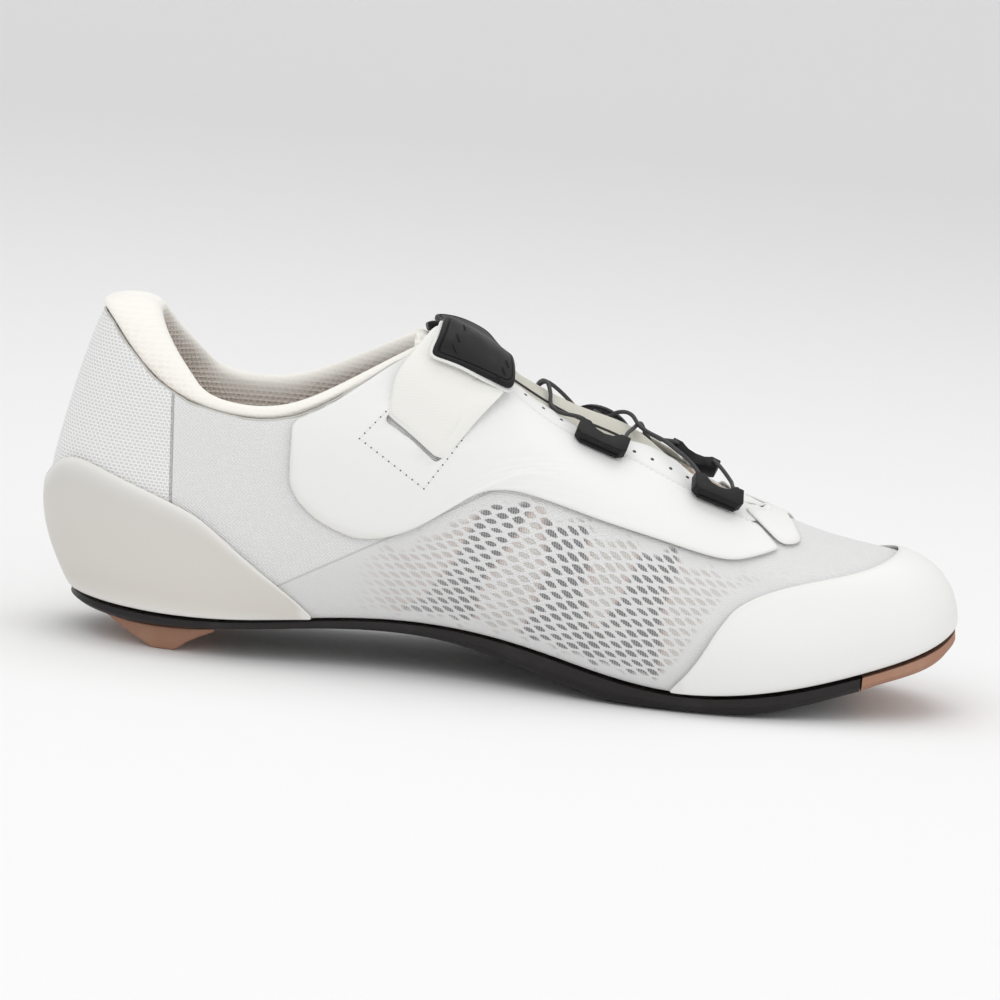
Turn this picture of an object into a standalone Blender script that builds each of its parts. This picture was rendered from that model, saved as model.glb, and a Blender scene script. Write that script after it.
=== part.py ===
"""A cycling shoe for the left foot, with a knitted upper, a cable closure and a strap.

Metres, +Z up. The toe points along +X and the inner side of the foot faces -Y.
A place on the upper is (turn, rise). Turn runs round the shoe: 0 at the heel,
1 at the toe by way of the inner side, and back to 2 at the heel by the outer side.
Rise runs up from the feather line, where the upper meets the sole, at 0, to the
topline of collar and throat at 1.
"""

import math

import bmesh
import bpy
import numpy as np

# Main sizes of the last
SOLE_LENGTH = 0.2734
BALL_WIDTH = 0.0955
HEEL_WIDTH = 0.066
HEEL_HEIGHT = 0.101
INSTEP_HEIGHT = 0.102
TOE_HEIGHT = 0.050

# Walls, layers and the gap that neighbours keep
WALL = 0.0018
OVERLAY = 0.0011
GAP = 0.0003

# Sections round the last at five levels. Along is a share of SOLE_LENGTH, medial and
# lateral are shares of the width there, and up is a share of the height there.
SECTION = ("turn", "along", "medial", "lateral", "up")
FEATHER = (
    (0.0, 0.000, 0.000, 0.000, 0.133),
    (0.1, 0.025, 0.286, 0.286, 0.127),
    (0.2, 0.095, 0.450, 0.450, 0.114),
    (0.3, 0.206, 0.494, 0.503, 0.124),
    (0.4, 0.346, 0.439, 0.517, 0.161),
    (0.5, 0.500, 0.418, 0.479, 0.142),
    (0.6, 0.654, 0.485, 0.513, 0.059),
    (0.7, 0.794, 0.471, 0.450, 0.075),
    (0.8, 0.905, 0.364, 0.306, 0.200),
    (0.9, 0.975, 0.258, 0.166, 0.448),
    (1.0, 1.000, 0.047, -0.047, 0.536),
)
SWELL = (
    (0.0, -0.038, 0.000, 0.000, 0.376),
    (0.1, -0.008, 0.311, 0.311, 0.366),
    (0.2, 0.078, 0.500, 0.500, 0.350),
    (0.3, 0.195, 0.550, 0.558, 0.324),
    (0.4, 0.331, 0.524, 0.581, 0.333),
    (0.5, 0.484, 0.462, 0.512, 0.309),
    (0.6, 0.642, 0.513, 0.536, 0.196),
    (0.7, 0.781, 0.492, 0.466, 0.186),
    (0.8, 0.894, 0.378, 0.318, 0.316),
    (0.9, 0.969, 0.266, 0.170, 0.572),
    (1.0, 1.000, 0.047, -0.047, 0.626),
)
SHOULDER = (
    (0.0, -0.027, 0.000, 0.000, 0.634),
    (0.1, -0.002, 0.265, 0.265, 0.634),
    (0.2, 0.073, 0.474, 0.474, 0.581),
    (0.3, 0.184, 0.548, 0.555, 0.520),
    (0.4, 0.312, 0.535, 0.566, 0.539),
    (0.5, 0.459, 0.440, 0.473, 0.539),
    (0.6, 0.605, 0.471, 0.482, 0.422),
    (0.7, 0.744, 0.450, 0.429, 0.338),
    (0.8, 0.861, 0.345, 0.292, 0.480),
    (0.9, 0.938, 0.232, 0.145, 0.830),
    (1.0, 0.973, 0.044, -0.044, 0.880),
)
CROWN = (
    (0.0, -0.010, 0.000, 0.000, 0.832),
    (0.1, 0.009, 0.238, 0.238, 0.827),
    (0.2, 0.075, 0.455, 0.455, 0.714),
    (0.3, 0.175, 0.530, 0.533, 0.647),
    (0.4, 0.292, 0.510, 0.524, 0.686),
    (0.5, 0.422, 0.341, 0.363, 0.799),
    (0.6, 0.554, 0.340, 0.351, 0.662),
    (0.7, 0.671, 0.314, 0.304, 0.554),
    (0.8, 0.781, 0.241, 0.209, 0.649),
    (0.9, 0.854, 0.147, 0.099, 0.972),
    (1.0, 0.890, 0.031, -0.031, 0.994),
)
TOPLINE = (
    (0.0, 0.009, 0.000, 0.000, 1.000),
    (0.1, 0.022, 0.218, 0.218, 0.986),
    (0.2, 0.079, 0.434, 0.434, 0.832),
    (0.3, 0.166, 0.512, 0.515, 0.745),
    (0.4, 0.273, 0.460, 0.467, 0.802),
    (0.5, 0.391, 0.204, 0.209, 1.000),
    (0.6, 0.509, 0.141, 0.147, 0.828),
    (0.7, 0.616, 0.152, 0.152, 0.725),
    (0.8, 0.700, 0.147, 0.141, 0.849),
    (0.9, 0.755, 0.094, 0.089, 1.170),
    (1.0, 0.773, 0.000, 0.000, 1.146),
)


# Turns between which a section passes from one named width or height to the next
HEEL_TO_BALL = (0.35, 0.55)
HEEL_TO_INSTEP = (0.10, 0.30)
INSTEP_TO_TOE = (0.70, 0.90)


def smooth_step(start, end, value):
    share = np.clip((value - start) / (end - start), 0.0, 1.0)
    return share * share * (3.0 - 2.0 * share)


def width_at(turn):
    """The named width that a section follows: the heel's, then the ball's."""
    return HEEL_WIDTH + (BALL_WIDTH - HEEL_WIDTH) * smooth_step(*HEEL_TO_BALL, turn)


def height_at(turn):
    """The named height that a section follows: heel, then instep, then toe."""
    instep = smooth_step(*HEEL_TO_INSTEP, turn)
    height = HEEL_HEIGHT + (INSTEP_HEIGHT - HEEL_HEIGHT) * instep
    return height + (TOE_HEIGHT - height) * smooth_step(*INSTEP_TO_TOE, turn)


def level_points(table):
    """The points of one level, round the shoe from the heel and back to it."""
    medial, lateral = [], []
    for row in table:
        section = dict(zip(SECTION, row))
        turn = section["turn"]
        x = section["along"] * SOLE_LENGTH
        z = section["up"] * height_at(turn)
        medial.append((x, -section["medial"] * width_at(turn), z))
        lateral.append((x, section["lateral"] * width_at(turn), z))
    return np.array(medial + lateral[-2:0:-1])


def loop_bends(points):
    """Second differences of the smooth closed curve through evenly spaced points."""
    count = len(points)
    system = np.eye(count) * 4.0 + np.roll(np.eye(count), 1, 0) + np.roll(np.eye(count), -1, 0)
    steps = np.roll(points, -1, 0) - 2.0 * points + np.roll(points, 1, 0)
    return np.linalg.solve(system, 6.0 * steps)


def on_loop(points, bends, turn):
    count = len(points)
    place = np.mod(turn, 2.0) / 2.0 * count
    first = np.floor(place).astype(int) % count
    after = (first + 1) % count
    share = (place - np.floor(place))[:, None]
    rest = 1.0 - share
    curve = rest * points[first] + share * points[after]
    return curve + ((rest**3 - rest) * bends[first] + (share**3 - share) * bends[after]) / 6.0


LEVELS = [level_points(table) for table in (FEATHER, SWELL, SHOULDER, CROWN, TOPLINE)]
BENDS = [loop_bends(points) for points in LEVELS]


def rib_point(turn, rise):
    """Points of the last, on smooth ribs through the five levels."""
    knots = np.stack([on_loop(p, b, turn) for p, b in zip(LEVELS, BENDS)], axis=1)
    spans = np.linalg.norm(np.diff(knots, axis=1), axis=2)
    slopes = np.diff(knots, axis=1) / spans[:, :, None]
    count = len(turn)
    system = np.zeros((count, 3, 3))
    for k in range(3):
        system[:, k, k] = 2.0 * (spans[:, k] + spans[:, k + 1])
    for k in range(2):
        system[:, k, k + 1] = spans[:, k + 1]
        system[:, k + 1, k] = spans[:, k + 1]
    inner = np.linalg.solve(system, 6.0 * np.diff(slopes, axis=1))
    bends = np.concatenate([np.zeros((count, 1, 3)), inner, np.zeros((count, 1, 3))], axis=1)
    ends = np.concatenate([np.zeros((count, 1)), np.cumsum(spans, axis=1)], axis=1)
    reach = np.clip(rise, 0.0, 1.0) * ends[:, -1]
    span = np.clip((reach[:, None] >= ends[:, 1:]).sum(axis=1), 0, 3)
    pick = np.arange(count)
    size = spans[pick, span][:, None]
    share = (reach - ends[pick, span])[:, None] / size
    rest = 1.0 - share
    curve = rest * knots[pick, span] + share * knots[pick, span + 1]
    curve += size**2 / 6.0 * (
        (rest**3 - rest) * bends[pick, span] + (share**3 - share) * bends[pick, span + 1]
    )
    return curve, ends[:, -1]


def skin(turn, rise, out=0.0):
    """Points on the upper's outer face, or a distance out of it. Past the topline the ribs
    run straight on, and rise counts metres over the height of the rib."""
    turn, rise, out = np.broadcast_arrays(turn, rise, out)
    shape = turn.shape
    turn, rise, out = (np.ravel(values).astype(float) for values in (turn, rise, out))
    step = 1e-3
    inside = np.clip(rise, 0.0, 1.0)
    low = np.clip(inside - step, 0.0, 1.0)
    high = np.clip(inside + step, 0.0, 1.0)
    point, length = rib_point(turn, inside)
    upward = rib_point(turn, high)[0] - rib_point(turn, low)[0]
    upward /= np.linalg.norm(upward, axis=1)[:, None]
    forward = rib_point(turn + step, inside)[0] - rib_point(turn - step, inside)[0]
    normal = np.cross(forward, upward)
    normal /= np.linalg.norm(normal, axis=1)[:, None]
    past = (rise - inside) * length
    point = point + past[:, None] * upward + out[:, None] * normal
    return point.reshape(shape + (3,))


# Surface nets of the pieces
ROWS_UP = 9
TURNS_ROUND = 56
ACROSS = 5


def mix(start, end, share):
    return start + (end - start) * share


def table_curve(table, places):
    """Smooth values between the rows of a short table whose first column is the place."""
    table = np.array(table, float)
    keys, values = table[:, 0], table[:, 1:]
    slopes = np.gradient(values, keys, axis=0)
    place = np.clip(places, keys[0], keys[-1])
    first = np.clip(np.searchsorted(keys, place, side="right") - 1, 0, len(keys) - 2)
    width = (keys[first + 1] - keys[first])[:, None]
    share = (place - keys[first])[:, None] / width
    start, end = values[first], values[first + 1]
    return (
        start * (1 + 2 * share) * (1 - share) ** 2
        + width * slopes[first] * share * (1 - share) ** 2
        + end * share**2 * (3 - 2 * share)
        + width * slopes[first + 1] * share**2 * (share - 1)
    )


def paint(name, colour, roughness, metallic=0.0):
    material = bpy.data.materials.new(name)
    material.use_nodes = True
    shader = material.node_tree.nodes["Principled BSDF"]
    shader.inputs["Base Color"].default_value = (*colour, 1.0)
    shader.inputs["Roughness"].default_value = roughness
    shader.inputs["Metallic"].default_value = metallic
    return material


def add_piece(name, bm, finish):
    """A closed mesh as one named object with its own material, shaded smooth."""
    bmesh.ops.remove_doubles(bm, verts=bm.verts, dist=1e-6)
    bmesh.ops.dissolve_degenerate(bm, edges=bm.edges, dist=1e-6)
    bmesh.ops.recalc_face_normals(bm, faces=bm.faces)
    mesh = bpy.data.meshes.new(name)
    bm.to_mesh(mesh)
    bm.free()
    mesh.shade_smooth()
    mesh.set_sharp_from_angle(angle=math.radians(40))
    mesh.materials.append(paint(name, *finish))
    piece = bpy.data.objects.new(name, mesh)
    bpy.context.scene.collection.objects.link(piece)
    return piece


def net_verts(bm, net):
    return [[bm.verts.new(tuple(point)) for point in row] for row in net]


def sew(bm, first, second, ring):
    """Quads between two lines of vertices."""
    count = len(first)
    for k in range(count if ring else count - 1):
        after = (k + 1) % count
        bm.faces.new((first[k], first[after], second[after], second[k]))


def shell(name, outer, inner, finish, ring=False):
    """A wall between two nets of points, closed along its rims."""
    bm = bmesh.new()
    front, back = net_verts(bm, outer), net_verts(bm, inner)
    for net in (front, back):
        for low, high in zip(net, net[1:]):
            sew(bm, low, high, ring)
    sew(bm, front[0], back[0], ring)
    sew(bm, front[-1], back[-1], ring)
    if not ring:
        sew(bm, [row[0] for row in front], [row[0] for row in back], False)
        sew(bm, [row[-1] for row in front], [row[-1] for row in back], False)
    return add_piece(name, bm, finish)


def loft(name, sections, finish):
    """A solid through closed sections, with flat ends."""
    bm = bmesh.new()
    rings = net_verts(bm, sections)
    for first, second in zip(rings, rings[1:]):
        sew(bm, first, second, True)
    bm.faces.new(rings[0])
    bm.faces.new(rings[-1])
    return add_piece(name, bm, finish)


def net_normals(net):
    """Unit normals of a net of points, by the cross product of its two directions."""
    along = np.gradient(net, axis=1)
    across = np.gradient(net, axis=0)
    normals = np.cross(along, across)
    return normals / np.maximum(np.linalg.norm(normals, axis=2), 1e-12)[:, :, None]


# Finishes: colour, roughness
WHITE_SKIN = ((0.88, 0.88, 0.87), 0.45)
KNIT = ((0.80, 0.80, 0.80), 0.9)
GREY_RUBBER = ((0.62, 0.61, 0.59), 0.5)
CREAM = ((0.85, 0.84, 0.78), 0.95)
PAD_GREY = ((0.60, 0.59, 0.53), 0.9)
BLACK_NYLON = ((0.022, 0.020, 0.020), 0.42)
COPPER_RUBBER = ((0.42, 0.24, 0.16), 0.6)
WEBBING = ((0.76, 0.76, 0.72), 0.8)
CORD_BLACK = ((0.02, 0.02, 0.02), 0.6)


def make_upper():
    turns = np.linspace(0.0, 2.0, TURNS_ROUND + 1)[:-1]
    rises = np.linspace(0.0, 1.0, ROWS_UP + 1)
    turn, rise = np.meshgrid(turns, rises)
    return shell("upper", skin(turn, rise), skin(turn, rise, -WALL), KNIT, ring=True)


# Overlays, as edges in (turn, rise) on the inner side of the foot. Their own foot stands
# this rise clear of the sole, and they lie this far out of the upper's face.
FOOT_RISE = 0.014
SEAT = 2.0 * GAP
COUNTER_TOP = (
    (0.000, 0.385),
    (0.035, 0.395),
    (0.070, 0.470),
    (0.105, 0.525),
    (0.147, 0.540),
    (0.196, 0.550),
    (0.235, 0.543),
    (0.263, 0.500),
    (0.290, 0.384),
    (0.321, 0.233),
    (0.342, 0.114),
    (0.353, 0.030),
)
TOE_CAP_TOP = (
    (0.619, 0.020),
    (0.636, 0.093),
    (0.654, 0.177),
    (0.670, 0.242),
    (0.697, 0.324),
    (0.727, 0.371),
    (0.758, 0.402),
    (0.806, 0.416),
    (0.864, 0.420),
    (0.930, 0.425),
    (1.000, 0.430),
)
STAY_LOWER = (
    (0.365, 0.960),
    (0.353, 0.800),
    (0.348, 0.684),
    (0.353, 0.600),
    (0.366, 0.509),
    (0.384, 0.435),
    (0.406, 0.372),
    (0.428, 0.372),
    (0.457, 0.415),
    (0.483, 0.462),
    (0.503, 0.505),
    (0.522, 0.528),
    (0.577, 0.545),
    (0.643, 0.565),
    (0.678, 0.552),
    (0.717, 0.508),
    (0.760, 0.555),
    (0.802, 0.620),
)
STAY_UPPER = (
    (0.371, 0.985),
    (0.420, 0.985),
    (0.470, 0.985),
    (0.510, 0.980),
    (0.545, 0.940),
    (0.574, 0.915),
    (0.630, 0.925),
    (0.688, 0.945),
    (0.744, 0.890),
    (0.795, 0.845),
    (0.822, 0.785),
)
FRONT_TAB_LOWER = (
    (0.811, 0.640),
    (0.836, 0.655),
    (0.862, 0.688),
    (0.900, 0.790),
    (0.955, 0.880),
    (1.000, 0.900),
)
FRONT_TAB_UPPER = ((0.846, 0.930), (0.870, 0.955), (0.910, 0.965), (1.000, 0.975))


def edge_line(table, count):
    """Evenly spaced (turn, rise) places along an edge given by its corners."""
    corners = np.array(table, float)
    spans = np.linalg.norm(np.diff(corners, axis=0), axis=1)
    reach = np.concatenate([[0.0], np.cumsum(spans)])
    places = np.linspace(0.0, reach[-1], count)
    return np.stack([np.interp(places, reach, corners[:, k]) for k in range(2)], axis=1)


def other_side(edge):
    return np.stack([2.0 - edge[:, 0], edge[:, 1]], axis=1)


def overlay(name, lower, upper, finish, rows=5):
    """A layer on the upper between two edges, a gap clear of it."""
    share = np.linspace(0.0, 1.0, rows)[:, None, None]
    places = mix(lower[None], upper[None], share)
    turn, rise = places[:, :, 0], places[:, :, 1]
    return shell(name, skin(turn, rise, SEAT + OVERLAY), skin(turn, rise, SEAT), finish)


def make_counter():
    half = edge_line(COUNTER_TOP, 18)
    top = np.concatenate([half[::-1], half[1:] * (-1.0, 1.0)])
    foot = np.stack([top[:, 0], np.full(len(top), FOOT_RISE)], axis=1)
    overlay("heel_counter", foot, top, GREY_RUBBER, rows=6)


def make_toe_cap():
    half = edge_line(TOE_CAP_TOP, 16)
    top = np.concatenate([half, other_side(half)[-2::-1]])
    foot = np.stack([top[:, 0], np.full(len(top), FOOT_RISE)], axis=1)
    overlay("toe_cap", foot, top, WHITE_SKIN, rows=6)


# Corners of the window that the strap dives into: rear and front of its lower edge, then
# rear and front of its upper edge
WINDOW_LOW = ((0.440, 0.815), (0.471, 0.597))
WINDOW_HIGH = ((0.475, 0.910), (0.515, 0.765))


def cut(piece, cutter):
    """Takes the cutter's shape out of a piece."""
    cutter.hide_render = True
    cutter.display_type = "WIRE"
    opening = piece.modifiers.new("opening", "BOOLEAN")
    opening.object = cutter
    opening.operation = "DIFFERENCE"


def make_stays():
    lower, upper = edge_line(STAY_LOWER, 27), edge_line(STAY_UPPER, 27)
    low, high = edge_line(WINDOW_LOW, 4), edge_line(WINDOW_HIGH, 4)
    for name, turned in (("eyestay_inner", np.asarray), ("eyestay_outer", other_side)):
        stay = overlay(name, turned(lower), turned(upper), WHITE_SKIN, rows=8)
        places = mix(turned(low)[None], turned(high)[None], np.linspace(0.0, 1.0, 3)[:, None, None])
        turn, rise = places[:, :, 0], places[:, :, 1]
        outside, inside = SEAT + 3.0 * OVERLAY, SEAT - OVERLAY
        window = shell(name + "_window", skin(turn, rise, outside), skin(turn, rise, inside), WHITE_SKIN)
        cut(stay, window)
    tab_low, tab_high = edge_line(FRONT_TAB_LOWER, 8), edge_line(FRONT_TAB_UPPER, 8)
    low = np.concatenate([tab_low, other_side(tab_low)[-2::-1]])
    high = np.concatenate([tab_high, other_side(tab_high)[-2::-1]])
    overlay("front_tab", low, high, WHITE_SKIN, rows=4)


# Padding of the collar: distance in from the upper's face and up from its edge,
# as shares of PAD_THICKNESS and PAD_DEPTH
PAD_THICKNESS = 0.0046
PAD_DEPTH = 0.016
PAD_RISE = 0.0040

# The padding is thicker and stands higher at the heel, until this turn
HEEL_PLUMP = 0.85
HEEL_LIFT = 0.40
PLUMP_TURNS = (0.05, 0.28)
COLLAR_RIBS = 13
PAD_OUTER = ((0.14, 0.14), (0.05, 0.55), (-0.16, 0.88), (-0.45, 1.00))
PAD_INNER = ((-0.80, 0.90), (-1.15, 0.55), (-1.32, 0.05))
PAD_HANG = ((-1.36, -0.30), (-1.25, -0.65), (-1.00, -0.90), (-0.62, -1.00))
PAD_BACK = (-0.90, -0.45)


def make_collar():
    """The soft roll over the collar's edge, with the padding that hangs inside it."""
    turns = np.arange(-COLLAR_RIBS, COLLAR_RIBS + 1) * 2.0 / TURNS_ROUND
    length = rib_point(turns, np.ones(len(turns)))[1]
    behind = -(WALL + 2.0 * GAP)
    sections = []
    for turn, rib in zip(turns, length):
        heel = 1.0 - smooth_step(*PLUMP_TURNS, abs(turn))
        thick, high = PAD_THICKNESS * (1.0 + HEEL_PLUMP * heel), PAD_RISE * (1.0 + HEEL_LIFT * heel)
        over = [(out * thick, up * high) for out, up in PAD_OUTER + PAD_INNER]
        hang = [(out * thick, up * PAD_DEPTH) for out, up in PAD_HANG]
        seat = [(behind, up * PAD_DEPTH) for up in PAD_BACK]
        section = np.array(over + hang + seat + [(behind, GAP)])
        sections.append(skin(turn, 1.0 + section[:, 1] / rib, section[:, 0]))
    loft("collar_padding", np.array(sections), CREAM)


# The tongue's cross ribs: turn, height of its crest over the throat's edges as a share
# of TONGUE_RISE, and how low its sides reach under the upper
TONGUE_RISE = 0.006
TONGUE_WALL = 0.0026
TONGUE_TOP = 0.0075
TONGUE_TOP_LIFT = 0.45
TONGUE_EDGE = 0.85
TONGUE = (
    (0.500, 0.20, 0.86),
    (0.550, 0.22, 0.80),
    (0.600, 0.75, 0.78),
    (0.650, 0.95, 0.76),
    (0.700, 0.95, 0.75),
    (0.725, 0.60, 0.75),
    (0.755, 0.10, 0.75),
    (0.800, 0.00, 0.76),
    (0.850, -0.10, 0.76),
    (0.900, -0.40, 0.76),
    (0.940, -0.45, 0.76),
)


def smooth_through(points, count):
    """Evenly spaced points on a smooth curve through a few points. Points are (rows, n, 3)."""
    steps = np.linalg.norm(np.diff(points, axis=1), axis=2)
    keys = np.concatenate([np.zeros((len(points), 1)), np.cumsum(steps, axis=1)], axis=1)
    lines = []
    for row, key in zip(points, keys):
        table = np.concatenate([key[:, None], row], axis=1)
        lines.append(table_curve(table, np.linspace(0.0, key[-1], count)))
    return np.array(lines)


def tongue_ribs(turns):
    """Five points of each cross rib of the tongue's outer face, inner side first."""
    rise, low = table_curve(TONGUE, turns).T
    under = -(WALL + 4.0 * GAP)
    sides = []
    for side in (turns, 2.0 - turns):
        edge = skin(side, mix(low, 1.0, TONGUE_EDGE), under)
        sides.append((skin(side, low, under), edge))
    crest = (skin(turns, 1.0) + skin(2.0 - turns, 1.0)) / 2.0
    crest[:, 2] += rise * TONGUE_RISE
    (first_low, first_edge), (last_low, last_edge) = sides
    return np.stack([first_low, first_edge, crest, last_edge, last_low], axis=1)


def crest_at(turn):
    return tongue_ribs(np.atleast_1d(np.asarray(turn, float)))[:, 2]


def make_tongue():
    ribs = tongue_ribs(np.linspace(TONGUE[0][0], TONGUE[-1][0], 19))
    top = ribs[:1] + (-TONGUE_TOP, 0.0, 0.0)
    top[0, 2, 2] += TONGUE_TOP_LIFT * TONGUE_RISE
    ribs = np.concatenate([top, (top + ribs[:1]) / 2.0, ribs])
    outer = smooth_through(ribs, 11)
    normals = net_normals(outer)
    normals *= np.sign(normals[:, 5:6, 2:3])
    inner = outer - TONGUE_WALL * normals
    shell("tongue", outer, inner, PAD_GREY)


# Sole
SOLE_THICKNESS = 0.0060
SOLE_RIM = 0.0009
SOLE_BEVEL = 0.0032
BUMPER_START = 0.787

# Its edge: share of SOLE_RIM that it stands out at the top and falls in at the lower
# corner, then the places of its widest line and of that corner in its depth
RIM_SHARE = 0.6
RIM_WIDEST = 0.45
RIM_CORNER = 0.80
SOLE_RIBS = 34
BUMPER_RIBS = 12

# Turn, and depth under the feather line as a share of SOLE_THICKNESS
SOLE_DEPTH = (
    (0.00, 0.53),
    (0.10, 0.63),
    (0.20, 0.60),
    (0.30, 0.47),
    (0.40, 0.60),
    (0.45, 0.72),
    (0.50, 1.08),
    (0.55, 1.28),
    (0.60, 1.32),
    (0.65, 1.12),
    (0.70, 1.05),
    (0.80, 0.85),
    (0.90, 1.00),
    (1.00, 1.07),
)
HEEL_PAD_FLAT = (0.200, 0.228)
HEEL_PAD = (
    (0.115, 0.10),
    (0.160, 0.50),
    (HEEL_PAD_FLAT[0], 1.00),
    (HEEL_PAD_FLAT[1], 1.00),
    (0.245, 0.50),
    (0.270, 0.12),
)
HEEL_PAD_INSET = 0.0012
HEEL_PAD_TAPER = 0.0015
PAD_RIBS = 12


def feather(turn, out):
    """Points of the feather line, a distance out of it in plan."""
    turn = np.atleast_1d(np.asarray(turn, float))
    points, bends = LEVELS[0], BENDS[0]
    place = on_loop(points, bends, turn)
    ahead = on_loop(points, bends, turn + 1e-3) - on_loop(points, bends, turn - 1e-3)
    away = np.stack([ahead[:, 1], -ahead[:, 0], np.zeros(len(turn))], axis=1)
    away /= np.linalg.norm(away, axis=1)[:, None]
    return place + out * away


def sole_floor(turn, top):
    depth = table_curve(SOLE_DEPTH, np.atleast_1d(turn))[:, 0]
    return np.maximum(top - depth * SOLE_THICKNESS, 0.0)


def cross_line(turn, out, height):
    """Points across the shoe from its inner to its outer edge, at one height."""
    first, last = feather(turn, out)[0], feather(2.0 - turn, out)[0]
    line = mix(first, last, np.linspace(0.0, 1.0, ACROSS)[:, None])
    line[:, 2] = height
    return line


def sole_section(turn):
    top = feather(turn, 0.0)[0, 2] - GAP
    low = sole_floor(turn, top)[0]
    upper_edge = cross_line(turn, RIM_SHARE * SOLE_RIM, top)
    side = cross_line(turn, SOLE_RIM, mix(top, low, RIM_WIDEST))[[0, -1]]
    corner = cross_line(turn, -RIM_SHARE * SOLE_RIM, mix(top, low, RIM_CORNER))[[0, -1]]
    bottom = cross_line(turn, -SOLE_BEVEL, low)
    return np.concatenate([upper_edge, side[1:], corner[1:], bottom[::-1], corner[:1], side[:1]])


def make_sole():
    split = GAP / SOLE_LENGTH
    for name, start, end, count, finish in (
        ("outsole", 0.0, BUMPER_START - split, SOLE_RIBS, BLACK_NYLON),
        ("toe_bumper", BUMPER_START + split, 1.0, BUMPER_RIBS, COPPER_RUBBER),
    ):
        sections = [sole_section(turn) for turn in np.linspace(start, end, count)]
        for section in (sections[0], sections[-1]):
            if np.ptp(section[:, 1]) > BALL_WIDTH / 4.0:
                section[:, 0] = section[0, 0]
        loft(name, sections, finish)


def make_heel_pad():
    sections = []
    turns = np.linspace(HEEL_PAD[0][0], HEEL_PAD[-1][0], PAD_RIBS)
    for turn in sorted({*turns, *HEEL_PAD_FLAT}):
        top = feather(turn, 0.0)[0, 2] - GAP
        seat = sole_floor(turn, top)[0] - GAP
        drop = np.interp(turn, [row[0] for row in HEEL_PAD], [row[1] for row in HEEL_PAD])
        inset = SOLE_BEVEL + HEEL_PAD_INSET
        upper = cross_line(turn, -inset, seat)
        lower = cross_line(turn, -inset - HEEL_PAD_TAPER, seat * (1.0 - drop))
        sections.append(np.concatenate([upper, lower[::-1]]))
    loft("heel_pad", sections, COPPER_RUBBER)


# Insole
INSOLE_WALL = 0.0032
INSOLE_RIBS = 31


def make_insole():
    inset = WALL + 3.0 * GAP
    top, bottom = [], []
    for turn in np.linspace(0.0, 1.0, INSOLE_RIBS):
        seat = feather(turn, 0.0)[0, 2]
        bottom.append(cross_line(turn, -inset, seat))
        top.append(cross_line(turn, -inset, seat + INSOLE_WALL))
    shell("insole", np.array(top), np.array(bottom), KNIT)


# Strap over the instep: corners of its path from the slot to the throat, in (turn, rise)
STRAP_WALL = 0.0014
STRAP_REAR = ((0.445, 0.822), (0.478, 0.884), (0.508, 0.985))
STRAP_FRONT = ((0.472, 0.620), (0.507, 0.737), (0.558, 0.930))
STRAP_CREST = (0.512, 0.572)
PLATE_WALL = 0.0028

# Corners of the grip plate, which lies askew on the strap, and of its rear arm, as places
# along the strap's path and across it: lower rear, lower front, upper rear, upper front
PLATE_CORNERS = ((0.20, 0.28), (0.27, 1.25), (0.60, -0.40), (0.60, 0.40))
ARM_CORNERS = ((0.44, -0.37), (0.44, -0.16), (0.53, -0.41), (0.53, -0.31))
ARM_WALL = 0.0021


def strap_net(path, widths):
    """The strap's under face: path runs 0 to 1 from one slot to the other, widths from
    its rear edge at 0 to its front edge at 1."""
    rear, front = np.array(STRAP_REAR), np.array(STRAP_FRONT)
    over_stay = SEAT + OVERLAY + 3.0 * GAP
    seat = np.array([SEAT, over_stay, over_stay])
    lines = []
    for width in widths:
        places = mix(rear, front, width)
        near = skin(places[:, 0], places[:, 1], seat)
        far = skin(2.0 - places[::-1, 0], places[::-1, 1], seat[::-1])
        crest = crest_at(mix(*STRAP_CREST, width)) + (0.0, 0.0, 2.0 * GAP)
        lines.append(np.concatenate([near, crest, far]))
    lines = np.array(lines)
    steps = np.linalg.norm(np.diff(lines, axis=1), axis=2)
    keys = np.concatenate([np.zeros((len(lines), 1)), np.cumsum(steps, axis=1)], axis=1)
    net = []
    for line, key in zip(lines, keys):
        net.append(table_curve(np.concatenate([key[:, None], line], axis=1), path * key[-1]))
    return np.array(net)


def strap_patch(corners, count_across, count_along):
    """A net between four corners on the strap's under face."""
    low_rear, low_front, high_rear, high_front = np.array(corners)
    net = []
    for share in np.linspace(0.0, 1.0, count_across):
        start, end = mix(low_rear, low_front, share), mix(high_rear, high_front, share)
        places = mix(start, end, np.linspace(0.0, 1.0, count_along)[:, None])
        net.append([strap_net(np.array([path]), [width])[0, 0] for path, width in places])
    return np.array(net)


def make_strap():
    def layer(name, net, base, wall, finish):
        normals = net_normals(net)
        facing = np.sign(normals[len(normals) // 2, normals.shape[1] // 2, 2])
        normals = normals * facing
        shell(name, net + (base + wall) * normals, net + base * normals, finish)

    whole = strap_net(np.linspace(0.0, 1.0, 21), np.linspace(0.0, 1.0, 5))
    layer("strap", whole, 0.0, STRAP_WALL, WEBBING)
    on_strap = STRAP_WALL + 2.0 * GAP
    layer("strap_plate", strap_patch(PLATE_CORNERS, 6, 8), on_strap, PLATE_WALL, BLACK_NYLON)
    layer("strap_plate_arm", strap_patch(ARM_CORNERS, 4, 4), on_strap, ARM_WALL, BLACK_NYLON)


# Cable guides on the throat's edges: (turn, rise) of the middle and the side
GUIDE_LENGTH = 0.0165
GUIDE_WIDTH = 0.0075
GUIDE_HEIGHT = 0.0036
GUIDE_PLACES = {
    "guide_rear_inner": (0.651, 0.930, 1),
    "guide_front_inner": (0.779, 0.885, 1),
    "guide_front_outer": (0.757, 0.915, -1),
}


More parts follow.
